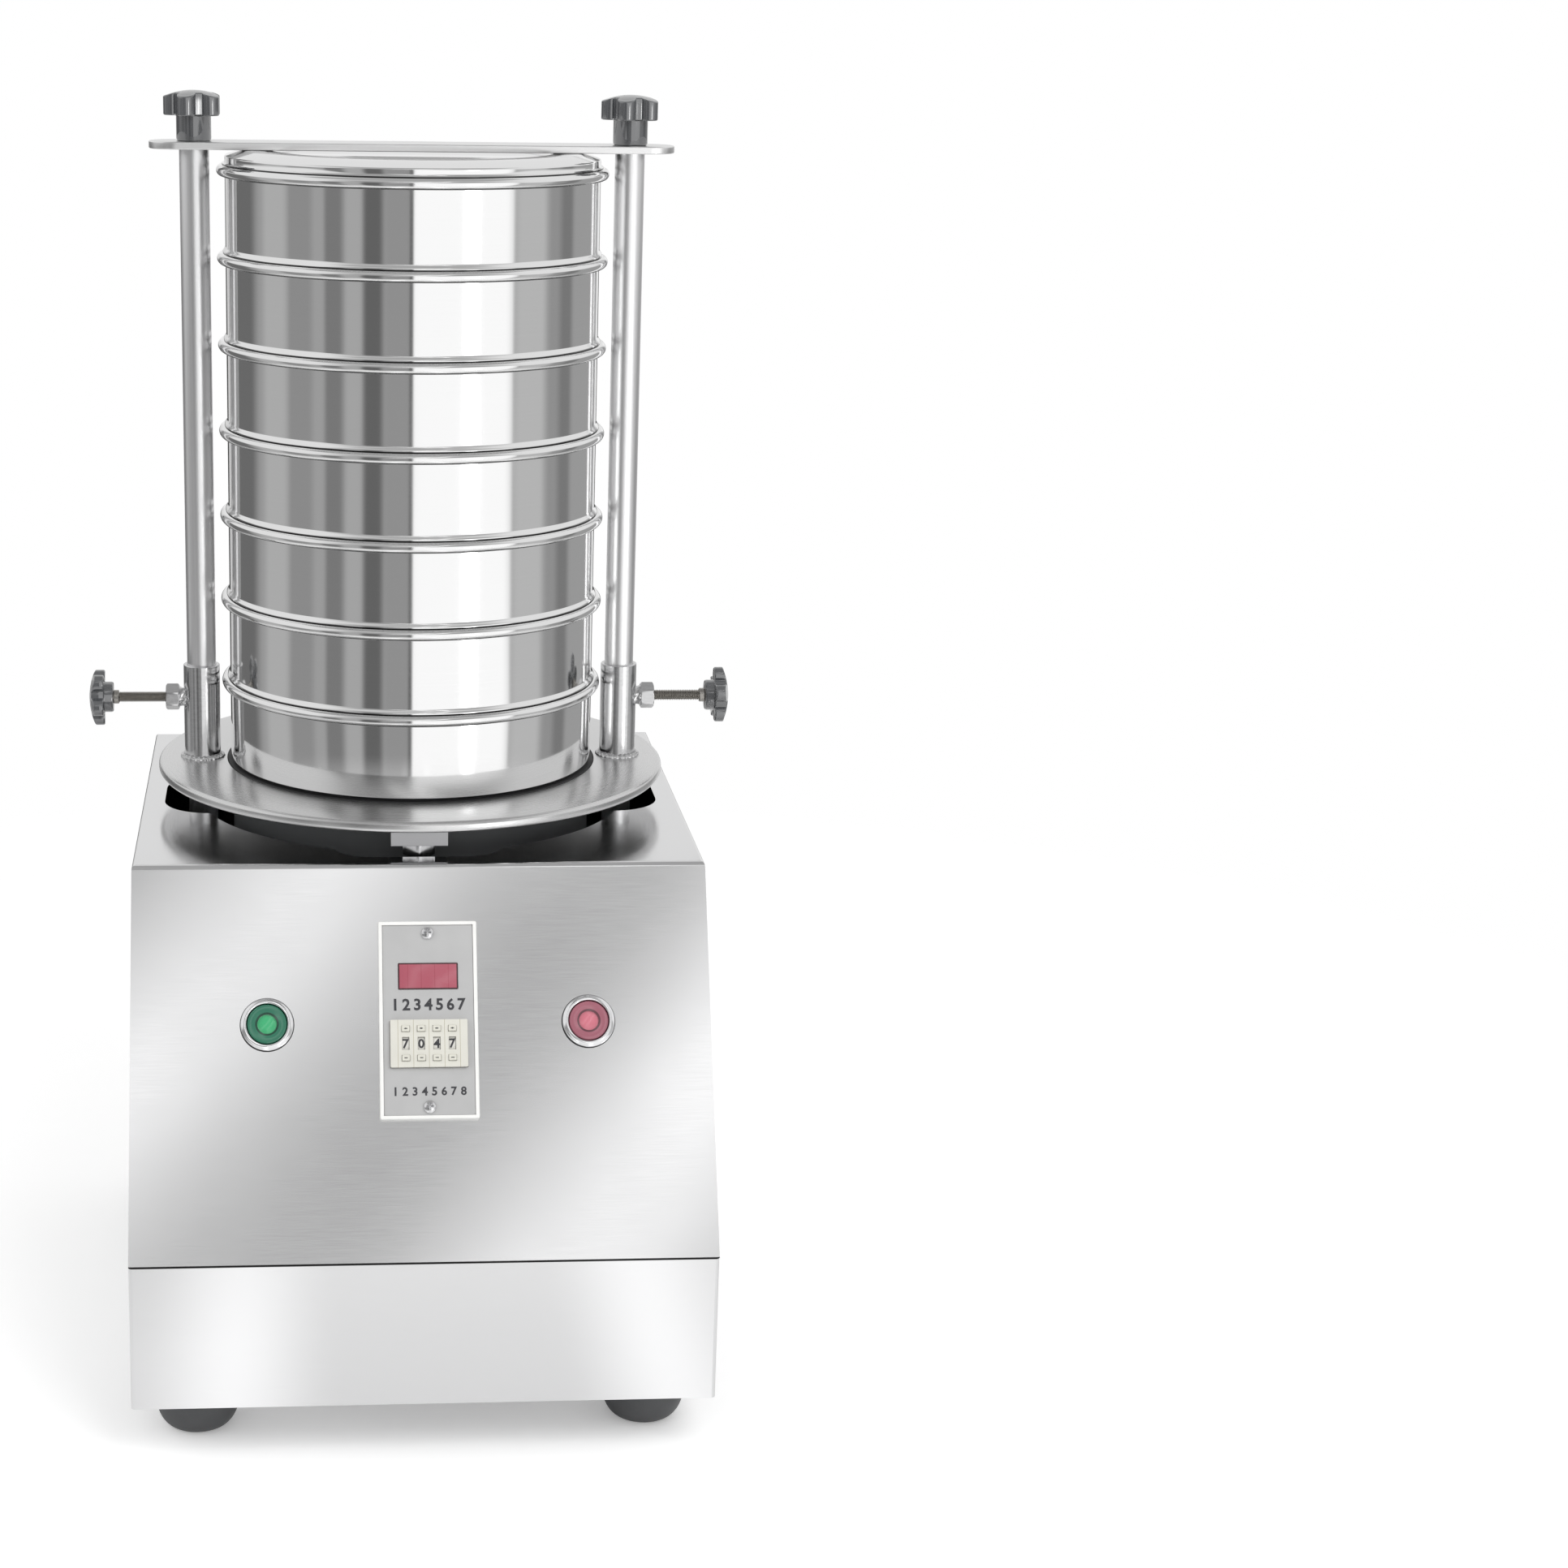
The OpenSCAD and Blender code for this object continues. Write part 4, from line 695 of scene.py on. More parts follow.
def coil(r, wire_r, turns, height):
    """A compression spring on z from 0 to height: wire of radius wire_r that turns at radius r.

    It rises by the wire's thickness in the first and the last turn, and evenly in the others."""
    turn = np.linspace(0, turns, turns * 32 + 1)
    closed = 2.04 * wire_r
    length = height - 2 * wire_r
    rise = np.interp(turn, [0, 1, turns - 1, turns], [0, closed, length - closed, length])
    round_wire = around(SPRING_SIDES)[None]
    thick = np.full(len(turn) + 2, wire_r)
    thick[[0, -1]] = 0
    thick = thick[:, None]
    turn, rise = (np.pad(values, 1, mode="edge")[:, None] for values in (turn, rise))
    level = wire_r + rise + thick * np.sin(round_wire)
    return grid(polar(r + thick * np.cos(round_wire), 2 * np.pi * turn, level))


# The springs stand in cups.
spring_low, spring_high = box_mm("coil_springs")
spring = coil(SPRING_R, WIRE_R, SPRING_TURNS, spring_high[2] - spring_low[2])
places = corners(spring_low, spring_high, SPRING_R + WIRE_R, spring_low[2])
springs = joined([placed(spring, place) for place in places])
springs = piece("springs", springs, spring_steel, None, ["coil_springs"])
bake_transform(springs)

# Fixings of the motor cage
# Two hexagon nuts on studs pull the carrier bar against the plate, front and rear, and four hexagon
# bolts hold the motor's upper end bell in the cage.

CARRIER_AF, CARRIER_NUT_H, CARRIER_STUD_R, CARRIER_PITCH = 17, 8, 5, 1.5
MOUNT_AF, MOUNT_HEAD_H, MOUNT_BOLT_R, MOUNT_BOLT_L, MOUNT_PITCH = 13, 5, 4, 18, 1.25
MOUNT_DROP, CAGE_R = 37, 100


def hexagon(af, length, bore_r):
    """A hexagon nut on z from 0 to length, with both ends turned to 30 degree chamfers.

    Its radius at each angle is the flat's, af / 2 / cos a, or the chamfer cone's where that is less."""
    angle = around(96)
    flat = af / 2 / np.cos((angle + np.pi / 6) % (np.pi / 3) - np.pi / 6)
    depth = np.array([0, 0.12, 0.25, 0.4, 0.6, 0.9])
    depth = np.concatenate([depth, length - depth[::-1]])[:, None]
    cone = af / 2 * 0.97 + np.minimum(depth, length - depth) * math.sqrt(3)
    radius = np.minimum(flat[None], cone)
    bore = np.array([(bore_r + 0.5, length), (bore_r, length - 0.5), (bore_r, 0.5), (bore_r + 0.5, 0)])
    rows = np.concatenate([polar(radius, angle, depth), polar(bore[:, :1], angle, bore[:, 1:])])
    return grid(rows, wrap_rows=True)


def threaded(r, pitch, low, high, segments=32, steps=8):
    """A threaded rod on z: its radius falls to r - 0.6 * pitch once in each turn of the helix."""
    height = np.linspace(low, high, int((high - low) / pitch * steps) + 1)[:, None]
    angle = around(segments)[None]
    phase = (height / pitch - angle / (2 * np.pi)) % 1
    ends = np.clip(np.minimum(height - low, high - height) / pitch, 0, 1)
    radius = r - 0.6 * pitch * np.clip(1.15 - np.abs(2 * phase - 1) * 1.3, 0, 1) * (0.5 + 0.5 * ends)
    radius = radius - 0.5 * pitch * (1 - ends)
    poles = np.zeros((1, segments, 3))
    rows = np.concatenate([poles + (0, 0, low), polar(radius, angle, height), poles + (0, 0, high)])
    return grid(rows)


axis_y = (plate_low[1] + plate_high[1]) / 2
plate_z, table_z = plate_low[2], plate_high[2]
carrier_reach = box_mm("cage_fixings")[1][1] - axis_y - CARRIER_AF / 2
carrier_nut = joined([
    hexagon(CARRIER_AF, CARRIER_NUT_H, CARRIER_STUD_R),
    threaded(CARRIER_STUD_R, CARRIER_PITCH, -1, CARRIER_NUT_H + CARRIER_BAR_T),
])
mount_bolt = joined([
    hexagon(MOUNT_AF, MOUNT_HEAD_H, 1.0),
    threaded(MOUNT_BOLT_R, MOUNT_PITCH, -MOUNT_BOLT_L, MOUNT_HEAD_H - 0.4),
])
fixings = [
    placed(carrier_nut, (0, axis_y + side * carrier_reach, bar_z - CARRIER_NUT_H)) for side in (-1, 1)
]
for turn in np.radians([45, 135, 225, 315]):
    out = np.array([math.cos(turn), math.sin(turn), 0])
    seat = CAGE_R * out + (0, axis_y, bar_z - MOUNT_DROP)
    fixings.append(placed(mount_bolt, seat, (-out[1], out[0], 0), (0, 0, 1), out))
piece("carrier_and_motor_fixings", joined(fixings), zinc, "table", ["cage_fixings"], crease=24)

# Support plate and mat
# A round steel plate, 6 mm thick, faced on the lathe, with a rounded rim. A black rubber mat lies in its
# recess under the receiving pan.

PLATE_T, PLATE_EDGE = 6.0, 2.4
RECESS_R, MAT_R, MAT_T = 103.2, 103.0, 2.0
plate_r = (plate_high[0] - plate_low[0]) / 2


def round_the_axis(finish):
    """The place as (distance from the machine's axis, angle / 30, height)."""
    x, y, z = split(object_place(finish))
    y = calc("SUBTRACT", y, axis_y * MM)
    angle = calc("DIVIDE", calc("ABSOLUTE", calc("ARCTAN2", x, y)), 30)
    return node("CombineXYZ", {0: distance(x, y), 1: angle, 2: z}).outputs[0]


def upright(mesh, x, z, *directions):
    """A mesh placed in the posts' plane, which also holds the stack's axis."""
    return placed(mesh, (x, axis_y, z), *directions)


plate_faced = metal(
    "plate_faced", (0.73, 0.73, 0.73), (0.25, 0.32), (2200, 60, 2200), 0.03, 0.05, round_the_axis
)
plate_section = [
    (0, 0), *arc(plate_r - PLATE_EDGE, PLATE_EDGE, PLATE_EDGE, -90, 0, 8),
    *arc(plate_r - PLATE_EDGE, PLATE_T - PLATE_EDGE, PLATE_EDGE, 0, 90, 8),
    *arc(RECESS_R + 0.4, PLATE_T - 0.4, 0.4, 90, 180, 3), (RECESS_R, PLATE_T - MAT_T), (0, PLATE_T - MAT_T),
]
piece("faced_plate", upright(turned(plate_section, 240), 0, plate_z), plate_faced, "table", ["support_plate"])
mat_section = [(0, 0), (MAT_R, 0), *arc(MAT_R - 0.4, MAT_T - 0.4, 0.4, 0, 90, 3), (0, MAT_T)]
piece("rubber_mat", upright(turned(mat_section, 200), 0, table_z - MAT_T), mat_rubber, "table", ["pan_mat"])

# Sleeves
# Two bright steel tubes welded upright on the plate. A hexagon nut is welded to the outer side of each,
# and its bead has been left rough.

POST_R = 8.0
SLEEVE_BORE, SLEEVE_R, SLEEVE_H = 8.06, 10.06, 53.0
WELD_LEG, WELD_RIPPLES, NECK_LUMPS = 2.5, 26, 9
CLAMP_H, SCREW_R, NUT_AF, NUT_L = 34.2, 3.0, 13.0, 7.5
NECK_R, NECK_L, NECK_SINK = 4.9, 2.4, 1.6
post_x = box_mm("clamp_posts")[1][0] - POST_R
clamp_z = table_z + CLAMP_H


def weld_bead(radius, leg, ripples):
    """A fillet weld round a tube: a quarter round whose leg swells and shrinks along the ripples."""
    angle = around(ripples * 8)[None]
    slope = np.radians(np.linspace(0, 90, 9))[:, None]
    size = leg * (0.88 + 0.1 * np.cos(ripples * angle) + 0.04 * np.sin(5 * angle + 1))
    inside = radius - 0.3
    bead = polar(inside + (size + 0.3) * np.cos(slope), angle, size * np.sin(slope))
    return grid(np.concatenate([bead, polar(inside, angle, 0)]), wrap_rows=True)


def weld_neck(radius, length, lumps):
    """A rough weld between two faces: a tube that flares at both ends and is lumpy all round."""
    angle = around(lumps * 8)[None]
    along = np.linspace(0, 1, 9)[:, None]
    reach = radius + 0.7 * (2 * along - 1) ** 2 + 0.28 * np.sin(lumps * angle + 4 * along)
    bore = polar(SCREW_R, angle, length * along[[-1, 0]])
    rows = np.concatenate([polar(reach, angle, length * along), bore])
    return grid(rows, wrap_rows=True)


sleeve_section = [
    (SLEEVE_BORE, 0), (SLEEVE_R, 0), *arc(SLEEVE_R - 0.5, SLEEVE_H - 0.5, 0.5, 0, 90, 4),
    *arc(SLEEVE_BORE + 0.4, SLEEVE_H - 0.4, 0.4, 90, 180, 3),
]
sleeve_steel = metal("sleeve_steel", (0.68, 0.68, 0.685), (0.14, 0.22), (300, 300, 1500), 0.05, 0.06)
tube = joined([turned(sleeve_section), weld_bead(SLEEVE_R, WELD_LEG, WELD_RIPPLES)])
neck = weld_neck(NECK_R, NECK_L + NECK_SINK, NECK_LUMPS)
nut = hexagon(NUT_AF, NUT_L, SCREW_R)
neck_x = post_x + SLEEVE_R - NECK_SINK
nut_x = post_x + SLEEVE_R + NECK_L
sleeves = []
for side in (-1, 1):
    out = sideways(side)
    sleeves += [upright(tube, side * post_x, table_z), upright(neck, side * neck_x, clamp_z, *out)]
    sleeves.append(upright(nut, side * nut_x, clamp_z, *out))
piece("welded_sleeves", joined(sleeves), sleeve_steel, "table", ["post_sleeves"], crease=24)

# Posts and crossbar
# Two polished 16 mm bars slide in the sleeves and end in an M8 stud. A flat stainless bar with round ends
# lies across their shoulders and presses on the lid.

STUD_R, STUD_PITCH = 4.0, 1.25
BAR_W, BAR_T, BAR_ROUND = 30.0, 4.0, 0.7
posts_low, posts_high = box_mm("clamp_posts")
crossbar_low, crossbar_high = box_mm("crossbar")
polished_rod = metal("polished_rod", (0.9, 0.9, 0.905), (0.32, 0.36), (1500, 1500, 12), 0.01, 0.01)
post_top = crossbar_low[2]
post_section = [
    (0, posts_low[2]), *arc(POST_R - 1, posts_low[2] + 1, 1, -90, 0, 4),
    *arc(POST_R - 0.4, post_top - 0.4, 0.4, 0, 90, 3), (0, post_top),
]
post = joined([turned(post_section), threaded(STUD_R, STUD_PITCH, post_top - 0.5, posts_high[2])])
posts = joined([upright(post, side * post_x, 0) for side in (-1, 1)])
piece("polished_posts", posts, polished_rod, "clamp_frame", ["clamp_posts"])
bar_edge = [
    *arc(BAR_ROUND, BAR_ROUND, BAR_ROUND, 270, 180, 4),
    *arc(BAR_ROUND, BAR_T - BAR_ROUND, BAR_ROUND, 180, 90, 4),
]
crossbar_satin = metal("crossbar_satin", (0.9, 0.9, 0.9), (0.28, 0.34), (60, 2500, 2500), 0.012, 0.03)
crossbar = swept(2 * crossbar_high[0], BAR_W, BAR_W / 2, bar_edge, caps=True, steps=24)
piece("round_ended_crossbar", upright(crossbar, 0, post_top), crossbar_satin, "clamp_frame", ["crossbar"])

# Receiving pan, sieves and lid
# Spun stainless drums, polished like a mirror. Each has a rolled bead at its rim and a shoulder above the
# skirt that nests in the drum below. The lid is pressed from one sheet, with a dished middle.

BORE_R, WALL_T, BEAD_R, DRUM_SIDES = 100.0, 1.0, 3.0, 256
WALL_R = BORE_R + WALL_T
BEAD_AT = WALL_R + BEAD_R / 2
SKIRT_R, SKIRT_DEPTH, SHOULDER, SHOULDER_H = 99.7, 10.0, 1.4, 3.0
SIEVE_PITCH = 46.6
LID_SHOULDER, LID_RING, LID_DISH, LID_EDGE_DROP = 11.0, 14.0, 3.0, 4.0
PAN_BEND, PAN_FOOT_R, PAN_MIDDLE_R, PAN_RAISE = 2.5, 88, 86, 0.6
# Painted shade lies in the corner under each bead and in the joint above it
CREVICE_UNDER, CREVICE_HALF, JOINT_OVER, JOINT_HALF = 5.4, 0.45, 0.3, 0.35
drum_mirror = metal(
    "drum_mirror", (0.9, 0.9, 0.9), (0.055, 0.085), (30, 8, 2600), 0.008, 0.004, round_the_axis
)
pan_low, pan_high = box_mm("receiving_pan")
over_rim = calc("SUBTRACT", split(object_place(drum_mirror))[2], (pan_high[2] - SIEVE_PITCH) * MM)
over_rim = calc("MODULO", over_rim, SIEVE_PITCH * MM)
shade_under_bead = stripes(over_rim, [(SIEVE_PITCH - CREVICE_UNDER) * MM], CREVICE_HALF * MM)
shade_in_joint = stripes(over_rim, [JOINT_OVER * MM], JOINT_HALF * MM)
# Both lines are painted shade: the base colour is darkened there
darken(drum_mirror, calc("MAXIMUM", shade_under_bead, shade_in_joint), (0.1, 0.1, 0.1))


def bead(top):
    """The rolled rim: an arc from the outer wall over to the bore, with its top at the given height."""
    return [
        *arc(BEAD_AT, top - BEAD_R, BEAD_R, -120, 90, 20), *arc(BORE_R + 0.8, top - 0.8, 0.8, 90, 180, 4),
    ]


def drum(name, section, z, stands_for):
    """A drum turned on the stack's axis, with the section's height 0 at z."""
    piece(name, upright(turned(section, DRUM_SIDES), 0, z), drum_mirror, "table", [stands_for])


# A sieve's skirt, flared shoulder, wall and bead, with its seat at height 0. The shoulder is half a cosine.
along = np.linspace(0, 1, 12)
skirt = [(SKIRT_R - WALL_T, -SKIRT_DEPTH), (SKIRT_R, -SKIRT_DEPTH), (SKIRT_R, 0)]
shoulder = zip(WALL_R + SHOULDER * (1 + np.cos(np.pi * along)) / 2, 0.6 + SHOULDER_H * along)
sieve_section = [
    *skirt, *arc(WALL_R + SHOULDER - 0.5, 0.5, 0.5, -90, 0, 4), *shoulder, *bead(SIEVE_PITCH),
    (BORE_R, 1), (SKIRT_R - WALL_T, 1),
]
for k in range(1, 7):
    seat = box_mm(f"sieve_{k}")[0][2] + SKIRT_DEPTH
    drum(f"polished_sieve_{k}", sieve_section, seat, f"sieve_{k}")

pan_section = [
    (0, PAN_RAISE), (PAN_MIDDLE_R, PAN_RAISE), (PAN_FOOT_R, 0),
    *arc(WALL_R - PAN_BEND, PAN_BEND, PAN_BEND, -90, 0, 6), *bead(pan_high[2] - pan_low[2]),
    *arc(BORE_R - PAN_BEND + 0.5, PAN_BEND + 0.5, PAN_BEND - 0.5, 0, -90, 5),
    (PAN_FOOT_R, WALL_T), (PAN_MIDDLE_R, PAN_RAISE + WALL_T), (0, PAN_RAISE + WALL_T),
]
drum("polished_pan", pan_section, pan_low[2], "receiving_pan")

lid_low, lid_high = box_mm("stack_lid")
top = lid_high[2] - lid_low[2] - SKIRT_DEPTH
sunk = top - LID_DISH
edge_z = top - LID_EDGE_DROP
crest = WALL_R - LID_SHOULDER
dish = crest - LID_RING
lid_section = [
    *skirt, *arc(WALL_R + 1.1, 0.4, 0.4, -90, 60, 4), (WALL_R + 0.3, 1.2), (WALL_R, 1.8),
    *arc(WALL_R - 1.2, edge_z, 1.2, 0, 60, 6), (crest + 3, top - 0.9), (crest + 1, top - 0.2),
    (crest - 0.6, top), (dish + 0.6, top), (dish - 0.4, top - 0.4),
    (dish - 2.2, sunk + 0.4), (dish - 3.2, sunk), (0, sunk),
]
lid_under = [
    (0, sunk - WALL_T), (dish - 3, sunk - WALL_T), (dish - 0.4, top - WALL_T), (crest - 0.4, top - WALL_T),
    (WALL_R - 1.8, edge_z + 0.2), (WALL_R - 1.3, 1), (SKIRT_R - WALL_T, 1),
]
drum("polished_lid", [*lid_section[::-1], *lid_under[::-1]], lid_low[2] + SKIRT_DEPTH, "stack_lid")

# The cloths are plain discs, but for the top one, which is pierced
wear(metal("cloth_wire", (0.62, 0.62, 0.62), (0.3, 0.36), (900, 900, 900), 0.05, 0.1), "sieve_cloths")

# Star knobs
# Five lobed knobs moulded in dark grey plastic. The two on top are screwed down on the studs by their
# brass inserts, and the two at the sides turn the side screws.

KNOB_R, LOBES, LOBE_R, VALLEY_DEPTH, DOME_H, KNOB_EDGE = 16.0, 5, 4.8, 5.8, 3.0, 0.9
FILLET_POWER, KNOB_SIDES, FINE_SIDES = 40, 280, 3600
# Hub radius and height, head height, bore radius and height
TOP_KNOB, SIDE_KNOB = (9.3, 13.3, 13.2, 6.06, 17.2), (8.5, 5.0, 8.3, SCREW_R + 0.01, 9.0)
COAT = {"Coat_Weight": 1.0, "Coat_Roughness": 0.05, "Coat_IOR": 2.3}
knob_plastic = moulded("knob_plastic", (0.052, 0.055, 0.06), 0.24, 1800, 0.04, 0.06, **COAT)
brass = metal("brass", (0.72, 0.52, 0.24), (0.16, 0.24), (400, 400, 2500), 0.05, 0.06)
wear(brass, "knob_insert_left", "knob_insert_right")


def star_knob(hub_r, hub_h, head_h, bore_r, bore_h):
    """A star knob on z, hub first. Round its axis the head's radius is the larger of its core's and
    that of its lobes, lobe_at * cos a + sqrt(lobe_r^2 - (lobe_at * sin a)^2), with a from the nearest lobe.
    A high power mean in place of the larger one fillets the valleys. The dome falls with r^2."""
    fine = np.linspace(0, 2 * np.pi, FINE_SIDES)
    lobe_at = KNOB_R - LOBE_R
    near = fine % (2 * np.pi / LOBES) - np.pi / LOBES
    lobe = lobe_at * np.cos(near) + np.sqrt(np.clip(LOBE_R ** 2 - (lobe_at * np.sin(near)) ** 2, 0, None))
    star = (lobe ** FILLET_POWER + (KNOB_R - VALLEY_DEPTH) ** FILLET_POWER) ** (1 / FILLET_POWER)
    run = np.cumsum(np.hypot(np.gradient(star), star * np.gradient(fine)))
    angle = np.interp(np.linspace(run[0], run[-1], KNOB_SIDES + 1)[:-1], run, fine)
    flat = np.interp(angle, fine, star) - KNOB_EDGE
    under_dome = hub_h + head_h - DOME_H

    def dome(radius):
        return under_dome + DOME_H * (1 - (radius / (KNOB_R - KNOB_EDGE)) ** 2)

    turns = np.radians(np.linspace(0, 90, 6))
    quarter = KNOB_EDGE * np.stack([np.sin(turns), 1 - np.cos(turns)], -1)
    rows = [
        (0, bore_h), (bore_r, bore_h), (bore_r, 0.4), (bore_r + 0.4, 0), (hub_r - 1, 0),
        (hub_r - 0.3, 0.3), (hub_r, 1), (hub_r, hub_h - 0.6), (hub_r + 0.15, hub_h - 0.15),
        (hub_r + 0.6, hub_h), *((flat + out, hub_h + up) for out, up in quarter),
        *((flat + out, dome(flat) - down) for down, out in KNOB_EDGE - quarter),
        *((flat * part, dome(flat * part)) for part in np.linspace(1, 0, 9)[1:]),
    ]
    return grid(np.stack([polar(radius, angle, z) for radius, z in rows]))


top_knob, side_knob = star_knob(*TOP_KNOB), star_knob(*SIDE_KNOB)
for side, hand in ((-1, "left"), (1, "right")):
    knob = upright(top_knob, side * post_x, crossbar_high[2])
    piece(f"top_star_{hand}", knob, knob_plastic, f"top_knob_{hand}", [f"top_knob_{hand}"])

# Side clamps
# An M6 screw of blackened steel goes through each welded nut to the post. A small collar turns with it,
# and its star knob is moulded on its end.

COLLAR_L, COLLAR_BORE, COLLAR_R = 3.0, 3.06, 3.86
SIDE_KNOB_X, SCREW_PITCH = 166.06, 1.0
dark_screw = metal("dark_screw", (0.4, 0.385, 0.36), (0.2, 0.3), (700, 700, 700), 0.1, 0.1)
collar_section = [
    (COLLAR_BORE, 0), (COLLAR_R - 0.3, 0), (COLLAR_R, 0.3),
    (COLLAR_R, COLLAR_L - 0.3), (COLLAR_R - 0.3, COLLAR_L), (COLLAR_BORE, COLLAR_L),
]
for side, hand in ((-1, "left"), (1, "right")):
    outwards = ((0, 0, -side), (0, 1, 0), (side, 0, 0))
    ends = box_mm(f"side_screw_{hand}")
    tip, end = sorted((abs(ends[0][0]), abs(ends[1][0])))
    screw = upright(threaded(SCREW_R, SCREW_PITCH, 0, end - tip), side * tip, clamp_z, *outwards)
    piece(f"side_thread_{hand}", screw, dark_screw, f"side_clamp_{hand}", [f"side_screw_{hand}"])
    knob = upright(side_knob, side * SIDE_KNOB_X, clamp_z, *outwards)
    piece(f"side_star_{hand}", knob, knob_plastic, f"side_clamp_{hand}", [f"side_knob_{hand}"])
    collar = upright(turned(collar_section, 64), side * (SIDE_KNOB_X - COLLAR_L), clamp_z, *outwards)
    piece(f"side_ring_{hand}", collar, dark_screw, f"side_slider_{hand}", [f"side_collar_{hand}"])

# Studio
# A pale round floor that fades into a white surround, soft light from all sides, and a studio of bright
# and grey strips round the machine that only its polished metal shows.

WHITE_LEVEL, AMBIENT = 1.0, 0.78
world = bpy.data.worlds.new("studio")
bpy.context.scene.world = world
world.use_nodes = True
tree = world.node_tree
tree.nodes.clear()
x, y, z = split(tree.nodes.new("ShaderNodeTexCoord").outputs["Generated"])
azimuth = times(calc("ARCTAN2", x, times(y, -1.0)), math.degrees(1))
elevation = times(calc("ARCSINE", z), math.degrees(1))


def step_up(value, middle, softness):
    """A smooth step from 0 to 1 as value passes middle."""
    made = node("MapRange", {0: value, 1: middle - softness, 2: middle + softness})
    made.interpolation_type = "SMOOTHSTEP"
    return made.outputs[0]


def strip(value, middle, half, softness):
    """1 inside a strip of a coordinate, 0 outside, with soft edges."""
    return calc("SUBTRACT", step_up(value, middle - half, softness), step_up(value, middle + half, softness))


def lay(level, mask, brightness):
    """Lays the given brightness over what is there, where mask is 1."""
    return mix(mask, level, brightness, "FLOAT")


def lay_strips(level, value, strips):
    for middle, half, soft, brightness in strips:
        level = lay(level, strip(value, middle, half, soft), brightness)
    return level


# Each strip: the azimuth of its middle, its half width, its soft edge, and its brightness. 0 is in front
# of the machine and positive is to the right of someone who faces it. The single ones follow.
WALL_STRIPS = (
    (30, 32, 1.5, 1.05), (76, 14, 6, 0.5), (96, 8, 5, 0.3), (107, 7, 4, 0.2), (130, 16, 5, 0.34),
    (160, 12, 4, 0.9), (-3, 1.3, 0.8, 0.1), (-11, 7, 1.5, 0.3), (-26, 6, 2.5, 0.13), (-38, 5, 2, 0.4),
    (-51, 6, 2.5, 0.2), (-61, 3.5, 2, 0.36), (-75, 9, 3, 0.28), (-95, 10, 4, 0.44), (-134, 20, 6, 0.15),
    (-166, 8, 3, 0.7),
)
LAMP_AT, LAMP_HIGH, OUTLINE_AT = (34, 3.5, 2), (-8, 10, 3), (169.5, 5.5, 1.5)
FRONT_AT, BANDS_HIGH = (3, 55, 20), (38, 14, 5)
WALL_TONE, BACK_TONE, LAMP_TONE, OUTLINE_TONE = 0.34, 0.9, 5.5, 0.06
walls = lay_strips(WALL_TONE, azimuth, WALL_STRIPS)
walls = lay(walls, times(strip(azimuth, *LAMP_AT), strip(elevation, *LAMP_HIGH)), LAMP_TONE)
behind = calc("ABSOLUTE", azimuth)
walls = lay(walls, step_up(behind, 172, 2), BACK_TONE)
# Low behind the machine, to either side of its middle, the studio is dark, which outlines drums and posts
low_down = calc("SUBTRACT", 1.0, step_up(elevation, -4, 3))
walls = lay(walls, times(strip(behind, *OUTLINE_AT), low_down), OUTLINE_TONE)

# Above the walls the studio is pale. In front the walls are higher, and over them are slanting bands,
# which the control panel shows.
UPPER_TONE, UPPER_FROM, FRONT_RISE = 0.8, 6, 20
ZENITH_TONE, ZENITH_FROM = 0.4, 56
BANDS_TONE, BAND_SLANT = 0.36, 1.1
PANEL_BANDS = ((-41, 2.2, 2, 0.5), (-26, 3.5, 1.5, 0.52), (-44.9, 2, 2, 1.62), (-30.6, 2, 2.1, 1.75))
slant = calc("SUBTRACT", azimuth, times(elevation, BAND_SLANT))
bands = lay_strips(BANDS_TONE, slant, PANEL_BANDS)
in_front = strip(azimuth, *FRONT_AT)
upper = lay(UPPER_TONE, times(in_front, strip(elevation, *BANDS_HIGH)), bands)
over = calc("SUBTRACT", elevation, times(in_front, FRONT_RISE))
level = lay(walls, step_up(over, UPPER_FROM, 4), upper)
level = lay(level, step_up(elevation, ZENITH_FROM, 4), ZENITH_TONE)
rays = tree.nodes.new("ShaderNodeLightPath").outputs
level = lay(AMBIENT, rays["Is Glossy Ray"], level)
level = lay(level, rays["Is Camera Ray"], WHITE_LEVEL)
background = node("Background", {"Color": level}).outputs[0]
feed(background, tree.nodes.new("ShaderNodeOutputWorld").inputs["Surface"])

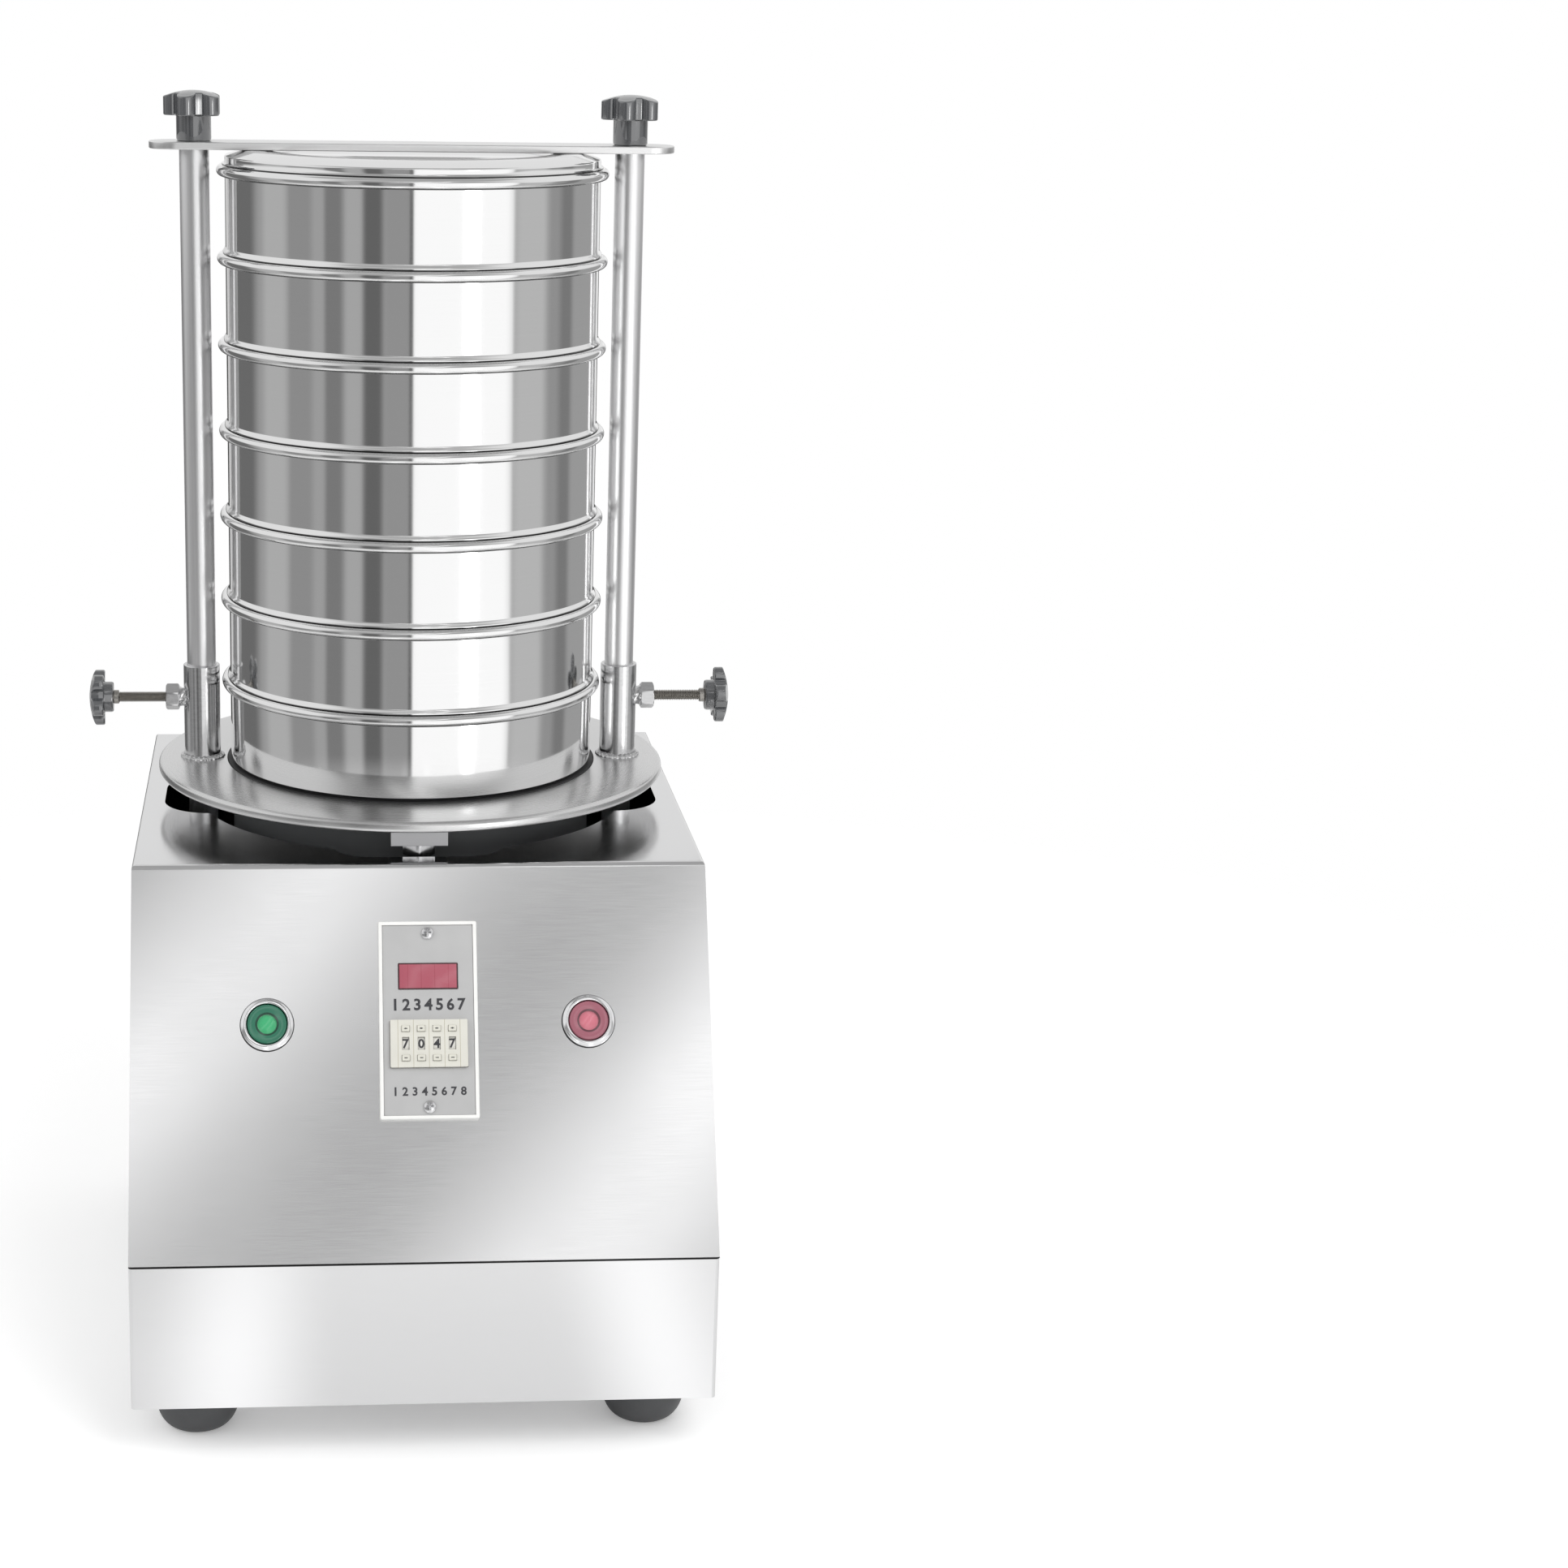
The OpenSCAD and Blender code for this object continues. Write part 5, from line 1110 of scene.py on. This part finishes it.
# Polished metal shows the floor a little darker than it is, with two soft pools of light on it in front, at
# the casing's left and right.
FLOOR_R, FADE_FROM = 1.1, 0.35
FLOOR_TONE, FLOOR_IN_METAL, FLOOR_LIFT, POOL_LIFT = 0.93, 0.8, 0.23, 0.31
POOL_XS, POOL_HALF = (-0.101, 0.138), 0.03
bpy.ops.mesh.primitive_circle_add(vertices=96, radius=FLOOR_R, fill_type="NGON")
floor = bpy.context.object
floor.name = "studio_floor"
floor_white = material("floor_white", [FLOOR_TONE] * 3, 0.9, Emission_Color=(1, 1, 1))
place = object_place(floor_white)
across = split(place)[0]
rays = floor_white.node_tree.nodes.new("ShaderNodeLightPath").outputs
pools = calc("ADD", *(strip(across, x, POOL_HALF, POOL_HALF) for x in POOL_XS))
pools = times(times(pools, POOL_LIFT), rays["Is Glossy Ray"])
lift = times(rays["Is Camera Ray"], FLOOR_LIFT)
feed(calc("ADD", pools, lift), surface(floor_white, "Emission Strength"))
feed(lay(FLOOR_TONE, rays["Is Glossy Ray"], FLOOR_IN_METAL), surface(floor_white, "Base Color"))
from_middle = node("VectorMath", {0: place}, "LENGTH").outputs["Value"]
feed(ramp(from_middle, FADE_FROM, FLOOR_R, 1.0, 0.0), surface(floor_white, "Alpha"))
floor.data.materials.append(floor_white)


def lamp(name, place, power):
    """A square soft lamp, which polished metal doesn't show."""
    data = bpy.data.lights.new(name, "AREA")
    data.size = LAMP_SIZE
    data.energy = power
    made = bpy.data.objects.new(name, data)
    link(made)
    made.location = place
    made.rotation_euler = (LAMP_AIM - Vector(place)).to_track_quat("-Z", "Y").to_euler()
    made.visible_glossy = False


LAMP_SIZE, LAMP_AIM = 1.2, Vector((0, 0, 0.3))
lamp("key_lamp", (0.9, -1.6, 1.9), 22)
lamp("fill_lamp", (-1.6, -0.9, 1.4), 8)

# Camera
# It stands a little left of the machine's middle, above its lid, and looks down on it. The machine fills
# the left half of the photograph, so the frame is shifted.

CAMERA_AT = (-0.0597, -1.6061, 0.7449)
CAMERA_YAW, CAMERA_PITCH, CAMERA_ROLL = (math.radians(a) for a in (4.47, 15.134, 0.842))
camera_data = bpy.data.cameras.new("camera")
camera_data.sensor_width = 36
camera_data.lens = 69.34
camera_data.shift_x = 0.16
camera = bpy.data.objects.new("camera", camera_data)
link(camera)
turns = ((-CAMERA_YAW, "Z"), (math.pi / 2 - CAMERA_PITCH, "X"), (CAMERA_ROLL, "Z"))
yaw, pitch, roll = (Matrix.Rotation(angle, 4, axis) for angle, axis in turns)
camera.matrix_world = Matrix.Translation(CAMERA_AT) @ yaw @ pitch @ roll
bpy.context.scene.camera = camera
bpy.context.scene.view_settings.view_transform = "Standard"
